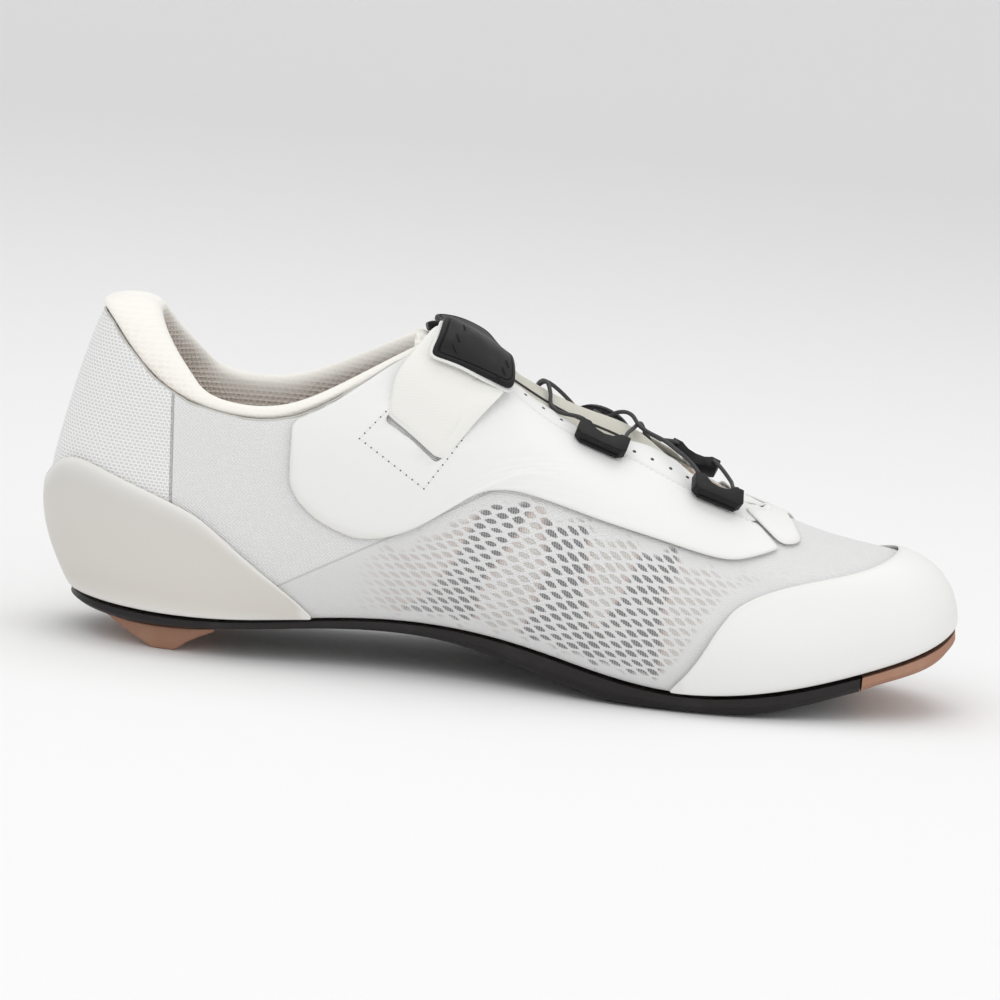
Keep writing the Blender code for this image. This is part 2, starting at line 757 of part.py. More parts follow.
# Outline of a guide from its notch round to its notch, as shares of half its length and
# half its width, then the notch that the cord's strands leave by
GUIDE_OUTLINE = ((-0.62, 1.0), (-1.0, 1.0), (-1.0, -0.6), (-0.8, -1.0))
NOTCH_HALF = 0.55
NOTCH_DEPTH = 0.80
NOTCH_STEPS = 5
PORT_PLACE = 0.81
GUIDE_SEAT = SEAT + OVERLAY + 3.0 * GAP


def throat_frame(turn, rise, side, out):
    """Origin and axes at a place on the throat: towards the toe, towards the throat, out."""
    place = turn if side > 0 else 2.0 - turn
    step = 0.02 * side
    origin = skin(place, rise, out)
    ahead = skin(place + step, rise, out) - skin(place - step, rise, out)
    normal = skin(place, rise, out + 1e-3) - origin
    ahead /= np.linalg.norm(ahead)
    normal /= np.linalg.norm(normal)
    inward = np.cross(normal, ahead) * side
    return origin, ahead, inward, normal


def make_guides():
    for name, (turn, rise, side) in GUIDE_PLACES.items():
        origin, ahead, inward, normal = throat_frame(turn, rise, side, GUIDE_SEAT)
        half, width = GUIDE_LENGTH / 2.0, GUIDE_WIDTH / 2.0
        outline = list(GUIDE_OUTLINE) + [(-x, y) for x, y in reversed(GUIDE_OUTLINE)]
        for k in range(NOTCH_STEPS):
            angle = math.pi * (k + 0.5) / NOTCH_STEPS
            outline.append((NOTCH_HALF * math.cos(angle), 1.0 - NOTCH_DEPTH * math.sin(angle)))
        bm = bmesh.new()
        verts = []
        for along, across in outline:
            verts.append(bm.verts.new(tuple(origin + along * half * ahead + across * width * inward)))
        base = bm.faces.new(verts)
        top = bmesh.ops.extrude_face_region(bm, geom=[base])
        raised = [v for v in top["geom"] if isinstance(v, bmesh.types.BMVert)]
        bmesh.ops.translate(bm, verts=raised, vec=tuple(GUIDE_HEIGHT * normal))
        add_piece(name, bm, BLACK_NYLON)


def port(name, end):
    """Where the cord leaves a guide: end is -1 at its heel side and 1 at its toe side."""
    turn, rise, side = GUIDE_PLACES[name]
    origin, ahead, inward, normal = throat_frame(turn, rise, side, GUIDE_SEAT)
    reach = GUIDE_WIDTH / 2.0 + CORD_DIAMETER / 2.0 + GAP
    along = PORT_PLACE * GUIDE_LENGTH / 2.0
    return origin + end * along * ahead + reach * inward + GUIDE_HEIGHT / 2.0 * normal


# Dial that winds the cord, on the outer side
DIAL_PLACE = (0.612, 0.690)
DIAL_BASE_RADIUS = 0.0125
DIAL_BASE_HEIGHT = 0.0030
DIAL_RADIUS = 0.0105
DIAL_HEIGHT = 0.0062
DIAL_SIDES = 32

# Its side, as shares of DIAL_RADIUS and DIAL_HEIGHT, then the ports of its base
DIAL_PROFILE = ((1.0, 0.0), (1.0, 0.72), (0.86, 1.0))
DIAL_PORT_ANGLE = math.radians(52.0)
DIAL_PORT_HEIGHT = 0.0018
DIAL_SEAT = SEAT + OVERLAY + 2.0 * GAP


def dial_frame():
    return throat_frame(*DIAL_PLACE, -1, DIAL_SEAT)


def make_dial():
    origin, ahead, inward, normal = dial_frame()
    turn, rise = 2.0 - DIAL_PLACE[0], DIAL_PLACE[1]
    step = 0.01
    per_turn = np.linalg.norm(skin(turn + step, rise) - skin(turn - step, rise)) / (2.0 * step)
    per_rise = np.linalg.norm(skin(turn, rise + step) - skin(turn, rise - step)) / (2.0 * step)
    angles = np.linspace(0.0, 2.0 * math.pi, DIAL_SIDES, endpoint=False)
    under, over = [], []
    for share in (0.0, 0.5, 1.0):
        reach = share * DIAL_BASE_RADIUS
        turns = turn - reach * np.cos(angles) / per_turn
        rises = rise + reach * np.sin(angles) / per_rise
        seat = skin(turns, rises, DIAL_SEAT)
        local = seat - origin
        flat = np.outer(local @ ahead, ahead) + np.outer(local @ inward, inward)
        under.append(seat)
        over.append(origin + flat + DIAL_BASE_HEIGHT * normal)
    shell("dial_base", np.array(over), np.array(under), COPPER_RUBBER, ring=True)
    bm = bmesh.new()
    rings = []
    foot = DIAL_BASE_HEIGHT + GAP
    for radius, height in DIAL_PROFILE:
        middle = origin + (foot + height * DIAL_HEIGHT) * normal
        spokes = np.outer(np.cos(angles), ahead) + np.outer(np.sin(angles), inward)
        ring = middle + radius * DIAL_RADIUS * spokes
        rings.append([bm.verts.new(tuple(point)) for point in ring])
    for low, high in zip(rings, rings[1:]):
        sew(bm, low, high, True)
    bm.faces.new(rings[0])
    bm.faces.new(rings[-1])
    add_piece("dial", bm, BLACK_NYLON)


# Cord of the dial, in strands from guide to guide over the tongue
CORD_DIAMETER = 0.0013
CORD_LIFT = 0.0016
CORD_SIDES = 8

# Places across the tongue that a strand passes over, of its full width, and the places
# there of the throat's edges, at which the strand has its first and last turn
OVER_TONGUE = (0.34, 0.42, 0.50, 0.58, 0.66)
THROAT_EDGES = (0.20, 0.80)
STAY_CROSSING = 0.96
CORD_TURNS = {
    "cord_rear": (0.621, 0.590),
    "cord_cross": (0.686, 0.730),
    "cord_cross_other": (0.745, 0.648),
    "cord_front": (0.856, 0.846),
}


def tongue_point(turn, share):
    rib = smooth_through(tongue_ribs(np.array([turn])), 41)[0]
    return rib[int(round(share * 40))]


def strand(name, start, end, lift=CORD_LIFT, over_stay=False):
    """A tube from a place on the inner side, over the tongue, to one on the outer side."""
    points = [start]
    for share in OVER_TONGUE:
        turn = np.interp(share, THROAT_EDGES, CORD_TURNS[name])
        points.append(tongue_point(turn, share) + (0.0, 0.0, lift))
    if over_stay:
        clear = SEAT + OVERLAY + 2.0 * CORD_DIAMETER
        points.append(skin(2.0 - CORD_TURNS[name][1], STAY_CROSSING, clear))
    points.append(end)
    centre = smooth_through(np.array([points]), 13)[0]
    ahead = np.gradient(centre, axis=0)
    ahead /= np.linalg.norm(ahead, axis=1)[:, None]
    beside = np.cross(ahead, (0.0, 0.0, 1.0))
    beside /= np.linalg.norm(beside, axis=1)[:, None]
    above = np.cross(beside, ahead)
    angles = np.linspace(0.0, 2.0 * math.pi, CORD_SIDES, endpoint=False)
    circle = beside[:, None] * np.cos(angles)[:, None] + above[:, None] * np.sin(angles)[:, None]
    return loft(name, centre[:, None] + CORD_DIAMETER / 2.0 * circle, CORD_BLACK)


def dial_port(end):
    origin, ahead, inward, normal = dial_frame()
    reach = DIAL_BASE_RADIUS + CORD_DIAMETER
    out = end * math.cos(DIAL_PORT_ANGLE) * ahead + math.sin(DIAL_PORT_ANGLE) * inward
    return origin + reach * out + DIAL_PORT_HEIGHT * normal


def make_cord():
    strand("cord_rear", port("guide_rear_inner", -1), dial_port(-1), over_stay=True)
    strand("cord_front", port("guide_front_inner", 1), port("guide_front_outer", 1))
    cross = strand("cord_cross", port("guide_rear_inner", 1), port("guide_front_outer", -1))
    start, end = port("guide_front_inner", -1), dial_port(1)
    other = strand("cord_cross_other", start, end, 1.5 * CORD_LIFT, over_stay=True)
    other.hide_render = True
    other.display_type = "WIRE"
    joined = cross.modifiers.new("crossing", "BOOLEAN")
    joined.operation = "UNION"
    joined.object = other


def stand_on_centre():
    """Hangs every piece from an empty that puts the middle of the shoe over the origin."""
    pieces = [piece for piece in bpy.data.objects if piece.type == "MESH"]
    corners = np.array([corner for piece in pieces for corner in piece.bound_box])
    middle = (corners.min(axis=0) + corners.max(axis=0)) / 2.0
    shoe = bpy.data.objects.new("shoe", None)
    bpy.context.scene.collection.objects.link(shoe)
    shoe.location = (-middle[0], -middle[1], 0.0)
    for piece in pieces:
        piece.parent = shoe


def main():
    for leftover in list(bpy.data.objects):
        bpy.data.objects.remove(leftover)
    make_upper()
    make_counter()
    make_toe_cap()
    make_stays()
    make_collar()
    make_tongue()
    make_sole()
    make_heel_pad()
    make_insole()
    make_strap()
    make_guides()
    make_dial()
    make_cord()
    stand_on_centre()


if __name__ == "__main__":
    main()
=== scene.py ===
"""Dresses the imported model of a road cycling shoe: its cloths, seams, trims and light.

Metres, +Z up, the toe along +X. The inner side of the foot, which faces the camera, is -Y.
"""

import math

import bmesh
import bpy
from bpy.props import FloatProperty, FloatVectorProperty, PointerProperty
from bpy.types import Operator, Panel, PropertyGroup
from mathutils import Matrix, Vector
from mathutils.bvhtree import BVHTree
from mathutils.kdtree import KDTree


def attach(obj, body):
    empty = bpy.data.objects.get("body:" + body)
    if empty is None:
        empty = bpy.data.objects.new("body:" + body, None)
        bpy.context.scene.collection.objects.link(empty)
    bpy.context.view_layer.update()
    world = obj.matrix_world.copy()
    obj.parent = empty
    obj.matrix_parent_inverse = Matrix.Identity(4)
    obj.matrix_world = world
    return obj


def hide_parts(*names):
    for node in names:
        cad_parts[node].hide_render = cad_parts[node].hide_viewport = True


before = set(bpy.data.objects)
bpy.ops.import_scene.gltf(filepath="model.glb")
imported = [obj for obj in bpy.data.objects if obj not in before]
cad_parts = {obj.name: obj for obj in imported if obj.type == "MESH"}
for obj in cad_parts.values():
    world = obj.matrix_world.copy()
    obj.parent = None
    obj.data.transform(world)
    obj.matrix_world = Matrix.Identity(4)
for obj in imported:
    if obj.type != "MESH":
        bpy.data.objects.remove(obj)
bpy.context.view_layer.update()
BODY = "root"

bl_info = {
    "name": "Cycling shoe looks",
    "version": (1, 0, 0),
    "blender": (4, 5, 0),
    "location": "View3D > Sidebar > Shoe",
    "description": "Cloths, seams, trims and light of a road cycling shoe",
    "category": "Object",
}

# Inner side (-Y) and outer side (+Y) of the shoe
INNER, OUTER = -1.0, 1.0

# Where the shoe's sides turn into its round heel and toe, for the pattern of its cloths
HEEL_CENTRE, HEEL_RADIUS = -0.085, 0.038
TOE_CENTRE, TOE_RADIUS = 0.100, 0.040
AXIS_HEIGHT, GIRTH_RADIUS = 0.005, 0.048
QUARTER_END, BALL_START = -0.030, 0.020

# Seams of the upper's cloths, seen from the side: x of the heel seam at the floor and its
# lean, then a place on the quarter's lower seam and its slope
HEEL_SEAM, HEEL_SEAM_LEAN = -0.0983, -0.064
QUARTER_SEAM, QUARTER_SEAM_SLOPE = (-0.0387, 0.0413), 0.58

# The mesh's slots along the shoe: they start, are full, are full up to and fade out at these x
MESH_REAR, MESH_FULL, MESH_FADE, MESH_END = -0.046, -0.030, 0.055, 0.095

# Cells of the cloths in millimetres: width, height and the yarn between them
HEEL_RIBS = (1.30, 1.05, 0.31)
TWILL = (1.8, 0.75, 0.20)
MESH_THREADS = (1.5, 0.50, 0.12)
MESH_UPRIGHTS = (0.74, 60.0, 0.15)
MESH_LEVELS = (60.0, 0.53, 0.08)
PADDING_PORES = (1.95, 1.55, 0.62)
LINING_PORES = (1.9, 1.5, 0.7)
TONGUE_KNIT = (0.9, 0.45, 0.12)
WEBBING_RIBS = (1.3, 0.7, 0.14)
TWILL_ANGLE, MESH_ANGLE = math.radians(33.0), math.radians(24.0)

# Stitches round the strap's window, seen from the side as (x, z)
WINDOW_STITCHES = ((-0.0315, 0.0900), (-0.0458, 0.0730), (-0.0250, 0.0600), (-0.0138, 0.0770))

# Dark bands of the lining behind the mesh: x at this height, and how each leans
SHADE_HEIGHT = 0.040
SHADE_BANDS = ((-0.0075, 0.495), (0.0198, 0.0), (0.0460, 0.35))

# How far the strap's inner half leans back at its front, how much more at its rear, its rise
# for each metre back, and how far the crown of strap, plate and tongue is lowered
STRAP_LEAN, STRAP_LEAN_REAR, STRAP_RISE = 0.0035, 0.0038, 0.42
CROWN_DROP = 0.0024

# The strap's tail in its window: its middle (x, z), and how much longer and deeper it is made
TAIL_MIDDLE, TAIL_LONGER, TAIL_DEEPER = (-0.0275, 0.0770), 0.36, 0.32

# Insets of the plate's top, from its groove inwards: width and depth
PLATE_INSETS = (
    (0.00018, 0.0),
    (0.00012, -0.0004),
    (0.00030, 0.0),
    (0.00012, 0.0004),
    (0.00018, 0.0),
)

# The pale pad under the plate: how far its top drops, it spreads at its sides and sinks as a whole
PLATE_PAD_DROP, PLATE_PAD_SPREAD, PLATE_PAD_SINK = 0.0019, 0.0012, 0.0004
ARM_GROWTH = 0.22

# The collar's two ends reach forward, draw in and rise, and its roll swells at the heel
COLLAR_REACH, COLLAR_NARROWING, COLLAR_RISE, HEEL_ROLL = 0.0110, 0.20, 0.0035, 0.0085
INSOLE_SPREAD = 1.04

# Slots in the strap's plate, seen from the side as (x, z), and their length, width and depth
SLOT_SIZE = (0.0036, 0.0007, 0.0003, 1.0)
PLATE_SLOTS = (
    (-0.0175, 0.1070),
    (-0.0190, 0.1045),
    (-0.0198, 0.1018),
    (-0.0035, 0.0976),
    (-0.0043, 0.0958),
    (-0.0054, 0.0935),
)

# Holes along the lace flap, and its lobes: x of heel end and toe end, and how far each rises.
# Its round ends draw out over FLAP_ROUNDING, and it lies on the upper up to its hem
FLAP_ROUNDING, FLAP_RISE_WIDTH, FLAP_HEM = 0.0045, 0.0025, 0.0006
FLAP_HOLES = (0.0030, 0.0088, 0.0146, 0.0378, 0.0435, 0.0494, 0.0548)
FLAP_LOBES = ((-0.004, 0.0205, 0.0), (0.0305, 0.0590, 0.0016), (0.0650, 0.0860, 0.0012))

# The camera's aim, its angle above the floor, its roll and its distance
CAMERA_AIM, CAMERA_RISE, CAMERA_ROLL = (-0.0018, 0.0, 0.0518), math.radians(10.0), math.radians(5.4)
CAMERA_DISTANCE, CAMERA_LENS = 1.5, 174.0

# Lamps: name, place, width and power
LAMPS = (
    ("key", (-0.35, -0.75, 0.95), 0.75, 2.6),
    ("top", (0.10, 0.25, 1.10), 0.90, 3.0),
    ("fill", (0.85, -0.60, 0.40), 0.70, 1.0),
)
SKY_POWER = 0.80

# The cord's route over the tongue, guide to guide, close to the model's solids
CORD_ROUTES = {
    "lace_rear": (
        (0.0220, -0.0167, 0.0818),
        (0.0116, -0.0093, 0.0838),
        (0.0105, -0.0046, 0.0878),
        (0.0094, 0.0002, 0.0898),
        (0.0079, 0.0050, 0.0890),
        (0.0062, 0.0098, 0.0866),
        (0.0086, 0.0182, 0.0877),
        (0.0205, 0.0292, 0.0769),
    ),
    "lace_cross_low": (
        (0.0346, -0.0170, 0.0776),
        (0.0374, -0.0050, 0.0793),
        (0.0391, -0.0003, 0.0800),
        (0.0405, 0.0044, 0.0777),
        (0.0420, 0.0092, 0.0746),
        (0.0516, 0.0166, 0.0724),
    ),
    "lace_cross_high": (
        (0.0581, -0.0177, 0.0689),
        (0.0485, -0.0112, 0.0760),
        (0.0393, -0.0051, 0.0796),
        (0.0360, -0.0003, 0.0825),
        (0.0324, 0.0045, 0.0821),
        (0.0289, 0.0093, 0.0795),
        (0.0253, 0.0188, 0.0793),
        (0.0362, 0.0279, 0.0706),
    ),
    "lace_front": (
        (0.0704, -0.0149, 0.0646),
        (0.0705, -0.0070, 0.0628),
        (0.0697, -0.0009, 0.0628),
        (0.0690, 0.0050, 0.0638),
        (0.0639, 0.0144, 0.0679),
    ),
}


def colour_property(name, description, default):
    return FloatVectorProperty(
        name=name, description=description, default=default, subtype="COLOR", min=0.0, max=1.0
    )


def length_property(name, description, default):
    return FloatProperty(
        name=name, description=description, default=default, unit="LENGTH", precision=5, min=0.0
    )


class ShoeColours(PropertyGroup):
    yarn: colour_property("Yarn", "Knitted cloth of the upper", (0.90, 0.90, 0.89))
    shadow: colour_property("Shadow", "Dark lining seen through the mesh", (0.075, 0.075, 0.082))
    blush: colour_property("Blush", "Warm edge of the dark lining", (0.50, 0.39, 0.35))
    haze: colour_property("Haze", "Pale lining seen through the mesh", (0.54, 0.51, 0.475))
    skin: colour_property("Skin", "Smooth white overlays", (0.81, 0.81, 0.80))
    counter: colour_property("Counter", "Moulded heel counter", (0.60, 0.59, 0.565))
    cream: colour_property("Cream", "Spacer mesh of the collar", (0.86, 0.845, 0.79))
    # Tan: the collar's own lining colour, also used as painted shadow in the collar's pores
    tan: colour_property("Tan", "Pores and lining of the collar", (0.70, 0.52, 0.42))
    tongue: colour_property("Tongue", "Padded tongue", (0.62, 0.61, 0.53))
    sole: colour_property("Sole", "Moulded sole", (0.018, 0.016, 0.016))
    copper: colour_property("Copper", "Rubber of heel pad and toe", (0.37, 0.20, 0.135))
    webbing: colour_property("Webbing", "Strap over the instep", (0.84, 0.835, 0.80))
    trim: colour_property("Trim", "Black plate, guides and dial", (0.008, 0.008, 0.009))
    cord: colour_property("Cord", "Braided cord", (0.022, 0.022, 0.024))


class ShoeSizes(PropertyGroup):
    slot_pitch: length_property("Slot pitch", "Length of a mesh slot with its yarn", 0.0056)
    slot_row: length_property("Slot row", "Height of a row of mesh slots", 0.0016)
    slot_length: length_property("Slot length", "Length of a mesh slot", 0.0043)
    slot_height: length_property("Slot height", "Height of a mesh slot", 0.0012)
    seam_diameter: length_property("Seam diameter", "Piping under the collar", 0.0007)
    stitch_pitch: length_property("Stitch pitch", "Distance between stitches", 0.00225)
    stitch_length: length_property("Stitch length", "Length of a stitch", 0.0013)
    stitch_width: length_property("Stitch width", "Thickness of the thread", 0.0003)
    hole_radius: length_property("Hole radius", "Needle holes round the window", 0.00028)
    flap_hole_radius: length_property("Flap hole radius", "Holes along the lace flap", 0.00062)
    flap_width: length_property("Flap width", "Lace flap, out from the throat's edge", 0.0085)
    flap_reach: length_property("Flap reach", "Lace flap, in over the tongue", 0.0036)
    flap_wall: length_property("Flap wall", "Thickness of the lace flap", 0.0006)
    cord_diameter: length_property("Cord diameter", "Cord of the closure", 0.0013)
    plate_groove: length_property("Plate groove", "Groove's distance from the edge", 0.0012)
    edge_radius: length_property("Edge radius", "Rounding of moulded edges", 0.00035)
    ridge_radius: length_property("Ridge radius", "Ridges along the cord guides", 0.0007)


class Recipe:
    """A material while its nodes are being joined up."""

    def __init__(self, name, colour, roughness, **shader_values):
        self.material = bpy.data.materials.new(name)
        self.material.use_nodes = True
        self.tree = self.material.node_tree
        self.shader = self.tree.nodes["Principled BSDF"]
        self.shader.inputs["Base Color"].default_value = (*colour, 1.0)
        self.shader.inputs["Roughness"].default_value = roughness
        for socket, value in shader_values.items():
            self.shader.inputs[socket.replace("_", " ")].default_value = value
        self.normal = None

    def feed(self, socket, value):
        if isinstance(value, bpy.types.NodeSocket):
            self.tree.links.new(value, socket)
        else:
            socket.default_value = value

    def node(self, kind, settings=None, **inputs):
        made = self.tree.nodes.new("ShaderNode" + kind)
        for name, value in (settings or {}).items():
            setattr(made, name, value)
        for name, value in inputs.items():
            self.feed(made.inputs[name.replace("_", " ")], value)
        return made

    def math(self, operation, first, second=0.0):
        made = self.tree.nodes.new("ShaderNodeMath")
        made.operation = operation
        self.feed(made.inputs[0], first)
        self.feed(made.inputs[1], second)
        return made.outputs[0]

    def times(self, first, second):
        return self.math("MULTIPLY", first, second)

    def plus(self, first, second):
        return self.math("ADD", first, second)

    def minus(self, first, second):
        return self.math("SUBTRACT", first, second)

    def mix(self, share, first, second):
        """A colour that goes from first to second."""
        made = self.tree.nodes.new("ShaderNodeMix")
        made.data_type = "RGBA"
        self.feed(made.inputs[0], share)
        for socket, value in ((made.inputs[6], first), (made.inputs[7], second)):
            if not isinstance(value, bpy.types.NodeSocket):
                value = (*value[:3], 1.0)
            self.feed(socket, value)
        return made.outputs[2]

    def blend(self, share, first, second):
        """A number that goes from first to second."""
        made = self.tree.nodes.new("ShaderNodeMix")
        self.feed(made.inputs[0], share)
        self.feed(made.inputs[2], first)
        self.feed(made.inputs[3], second)
        return made.outputs[0]

    def step(self, value, start, end):
        """0 before start and 1 after end, smooth between them."""
        made = self.node("MapRange", {"interpolation_type": "SMOOTHSTEP"}, From_Min=start, From_Max=end)
        self.feed(made.inputs["Value"], value)
        return made.outputs[0]

    def place(self):
        """The point on the piece, and its x, y and z."""
        point = self.node("TexCoord").outputs["Object"]
        parts = self.node("SeparateXYZ", Vector=point).outputs
        return point, parts[0], parts[1], parts[2]

    def cloth(self, turn=0.0):
        """The place on the piece's cloth in millimetres, turned by an angle."""
        flat = self.node("UVMap", {"uv_map": "weave"}).outputs[0]
        scaled = self.node("Mapping", Vector=flat)
        scaled.inputs["Scale"].default_value = (1000.0, 1000.0, 1000.0)
        scaled.inputs["Rotation"].default_value = (0.0, 0.0, turn)
        return scaled.outputs[0]

    def cells(self, cloth, width, height, gap, soft=0.6, shift=0.5):
        """1 in staggered cells of a cloth and 0 in the yarn between them. Millimetres."""
        made = self.node("TexBrick", {"offset": shift}, Vector=cloth, Scale=1.0)
        made.inputs["Brick Width"].default_value = width
        made.inputs["Row Height"].default_value = height
        made.inputs["Mortar Size"].default_value = gap
        made.inputs["Mortar Smooth"].default_value = soft
        return self.minus(1.0, made.outputs["Fac"])

    def lenses(self, cloth, sizes, notches):
        """1 in staggered lens-shaped slots of a cloth and 0 in its yarn, with notched edges."""
        pitch, row = sizes.slot_pitch * 1e3, sizes.slot_row * 1e3
        parts = self.node("SeparateXYZ", Vector=cloth).outputs
        line = self.math("DIVIDE", parts[1], row)
        shift = self.times(self.math("FLOORED_MODULO", self.math("FLOOR", line), 2.0), 0.5)
        along = self.math("FRACT", self.plus(self.math("DIVIDE", parts[0], pitch), shift))
        along = self.minus(along, 0.5)
        along = self.times(along, 2.0 * sizes.slot_pitch / sizes.slot_length)
        high = self.math("ABSOLUTE", self.minus(self.math("FRACT", line), 0.5))
        high = self.times(high, 2.0 * sizes.slot_row / sizes.slot_height)
        reach = self.plus(self.times(along, along), high)
        return self.step(self.plus(reach, notches), 1.15, 0.80)

    def noise(self, vector, scale, detail=3.0):
        return self.node("TexNoise", Vector=vector, Scale=scale, Detail=detail).outputs["Fac"]

    def attribute(self, name):
        return self.node("Attribute", {"attribute_name": name}).outputs["Fac"]

    def colour(self, value):
        self.feed(self.shader.inputs["Base Color"], value)

    def roughness(self, value):
        self.feed(self.shader.inputs["Roughness"], value)

    def relief(self, height, depth):
        """Raises the surface by depth, in metres, where height is 1."""
        made = self.node("Bump", Height=height, Distance=depth, Strength=1.0)
        if self.normal:
            self.feed(made.inputs["Normal"], self.normal)
        self.normal = made.outputs[0]
        self.feed(self.shader.inputs["Normal"], self.normal)

    def sink(self, share, depth):
        """Lowers the surface by depth, in metres, where share is 1."""
        self.relief(self.minus(1.0, share), depth)


def knit_finish(colours, sizes):
    """The upper's three cloths: ribbed heel, twilled quarter and slotted mesh."""
    recipe = Recipe("knit", colours.yarn, 0.85, Sheen_Weight=0.25, Sheen_Roughness=0.5)
    point, x, _, z = recipe.place()
    seam_x = recipe.plus(HEEL_SEAM, recipe.times(z, HEEL_SEAM_LEAN))
    past_heel = recipe.minus(x, seam_x)
    quarter = recipe.step(past_heel, -0.0002, 0.0002)
    line = recipe.times(recipe.minus(x, QUARTER_SEAM[0]), QUARTER_SEAM_SLOPE)
    under = recipe.minus(recipe.plus(line, QUARTER_SEAM[1]), z)
    mesh = recipe.math("MAXIMUM", recipe.step(under, -0.0002, 0.0002), recipe.step(x, -0.002, 0.0))
    mesh = recipe.times(mesh, quarter)

    flat = recipe.cloth()
    ribs = recipe.cells(flat, *HEEL_RIBS, 0.7)
    twill = recipe.cells(recipe.cloth(TWILL_ANGLE), *TWILL, 1.0)
    sloped = recipe.cloth(MESH_ANGLE)
    threads = recipe.cells(sloped, *MESH_THREADS, 1.0)
    uprights = recipe.minus(1.0, recipe.cells(flat, *MESH_UPRIGHTS, 0.8, 0.0))
    drift = recipe.noise(point, 160.0, 2.0)
    notches = recipe.plus(recipe.times(uprights, 0.30), drift)
    slots = recipe.lenses(sloped, sizes, recipe.minus(notches, 0.55))
    clear = recipe.step(recipe.attribute("clear"), 0.0042, 0.0066)
    reach = recipe.times(recipe.step(x, MESH_REAR, MESH_FULL), recipe.step(x, MESH_END, MESH_FADE))
    slots = recipe.times(slots, recipe.times(clear, reach))
    slots = recipe.times(slots, mesh)

    high = recipe.minus(z, SHADE_HEIGHT)
    away = 1.0
    for middle, lean in SHADE_BANDS:
        centre = recipe.plus(recipe.times(high, lean), middle)
        away = recipe.math("MINIMUM", away, recipe.math("ABSOLUTE", recipe.minus(x, centre)))
    spread = recipe.times(recipe.math("MAXIMUM", recipe.minus(0.034, z), 0.0), 0.34)
    away = recipe.plus(recipe.minus(away, spread), recipe.times(drift, 0.005))
    warm = recipe.times(recipe.step(x, -0.004, -0.016), 0.5)
    seen = recipe.mix(warm, colours.haze, colours.blush)
    seen = recipe.mix(recipe.step(away, 0.0120, 0.0095), seen, colours.blush)
    seen = recipe.mix(recipe.step(away, 0.0103, 0.0078), seen, colours.shadow)
    levels = recipe.minus(1.0, recipe.cells(sloped, *MESH_LEVELS, 1.0, 0.0))
    crossed = recipe.math("MAXIMUM", uprights, recipe.times(levels, 0.8))
    seen = recipe.mix(recipe.times(crossed, 0.42), seen, colours.yarn)
    faint = recipe.minus(0.88, recipe.times(recipe.step(x, -0.004, -0.030), 0.20))
    seen = recipe.mix(faint, colours.yarn, seen)

    # Painted shade in the knit's cells: ribs, twill and mesh threads darken towards a shaded yarn grey,
    # with random pile on top
    painted_cell_shade = recipe.blend(quarter, recipe.times(ribs, 0.40), recipe.times(twill, 0.30))
    painted_cell_shade = recipe.blend(mesh, painted_cell_shade, recipe.times(threads, 0.24))
    pile = recipe.times(recipe.noise(point, 900.0), 0.06)
    shade = recipe.mix(recipe.plus(painted_cell_shade, pile), colours.yarn, (0.36, 0.36, 0.38))
    # Painted shade in the heel seam's groove, above the counter's top
    shaded_heel_seam = recipe.step(recipe.math("ABSOLUTE", past_heel), 0.00055, 0.00025)
    shaded_heel_seam = recipe.times(shaded_heel_seam, recipe.step(z, 0.040, 0.045))
    shade = recipe.mix(recipe.times(shaded_heel_seam, 0.55), shade, (0.22, 0.22, 0.22))
    # Painted shade along the seam where the mesh meets the quarter
    mesh_seam_shade = recipe.step(recipe.math("ABSOLUTE", under), 0.0006, 0.0002)
    mesh_seam_shade = recipe.times(mesh_seam_shade, recipe.step(x, -0.002, -0.006))
    shade = recipe.mix(recipe.times(mesh_seam_shade, 0.35), shade, (0.30, 0.30, 0.30))
    recipe.colour(recipe.mix(slots, shade, seen))
    weave = recipe.blend(mesh, recipe.blend(quarter, ribs, twill), threads)
    recipe.sink(weave, 0.00012)
    recipe.sink(slots, 0.00010)
    recipe.sink(shaded_heel_seam, 0.0003)
    return recipe.material


def lining_finish(colours):
    """The soft lining inside the shoe."""
    recipe = Recipe("lining", colours.tan, 0.95, Sheen_Weight=0.3)
    pores = recipe.cells(recipe.cloth(), *LINING_PORES, 1.0)
    recipe.colour(recipe.mix(pores, (0.70, 0.64, 0.58), colours.tan))
    recipe.sink(pores, 0.0004)
    return recipe.material


def spacer_finish(colours):
    """The collar's spacer mesh over foam. Its pores show the tan beneath with painted shadow, stronger
    with the depth below its edge.
    """
    recipe = Recipe("collar_mesh", colours.cream, 0.9, Sheen_Weight=0.35, Sheen_Roughness=0.6)
    point = recipe.place()[0]
    depth = recipe.attribute("depth")
    pores = recipe.cells(recipe.cloth(), *PADDING_PORES, 1.0)
    lower = recipe.step(depth, 0.0015, 0.0120)
    fabric = recipe.mix(recipe.times(lower, 0.10), colours.cream, colours.tan)
    # Painted shadow in the pores: partly the tan beneath, partly shade, stronger deeper below the roll's
    # top
    shaded_pores = recipe.times(pores, recipe.blend(lower, 0.06, 0.55))
    recipe.colour(recipe.mix(shaded_pores, fabric, colours.tan))
    recipe.sink(shaded_pores, 0.0005)
    recipe.relief(recipe.noise(point, 1500.0), 0.00006)
    return recipe.material


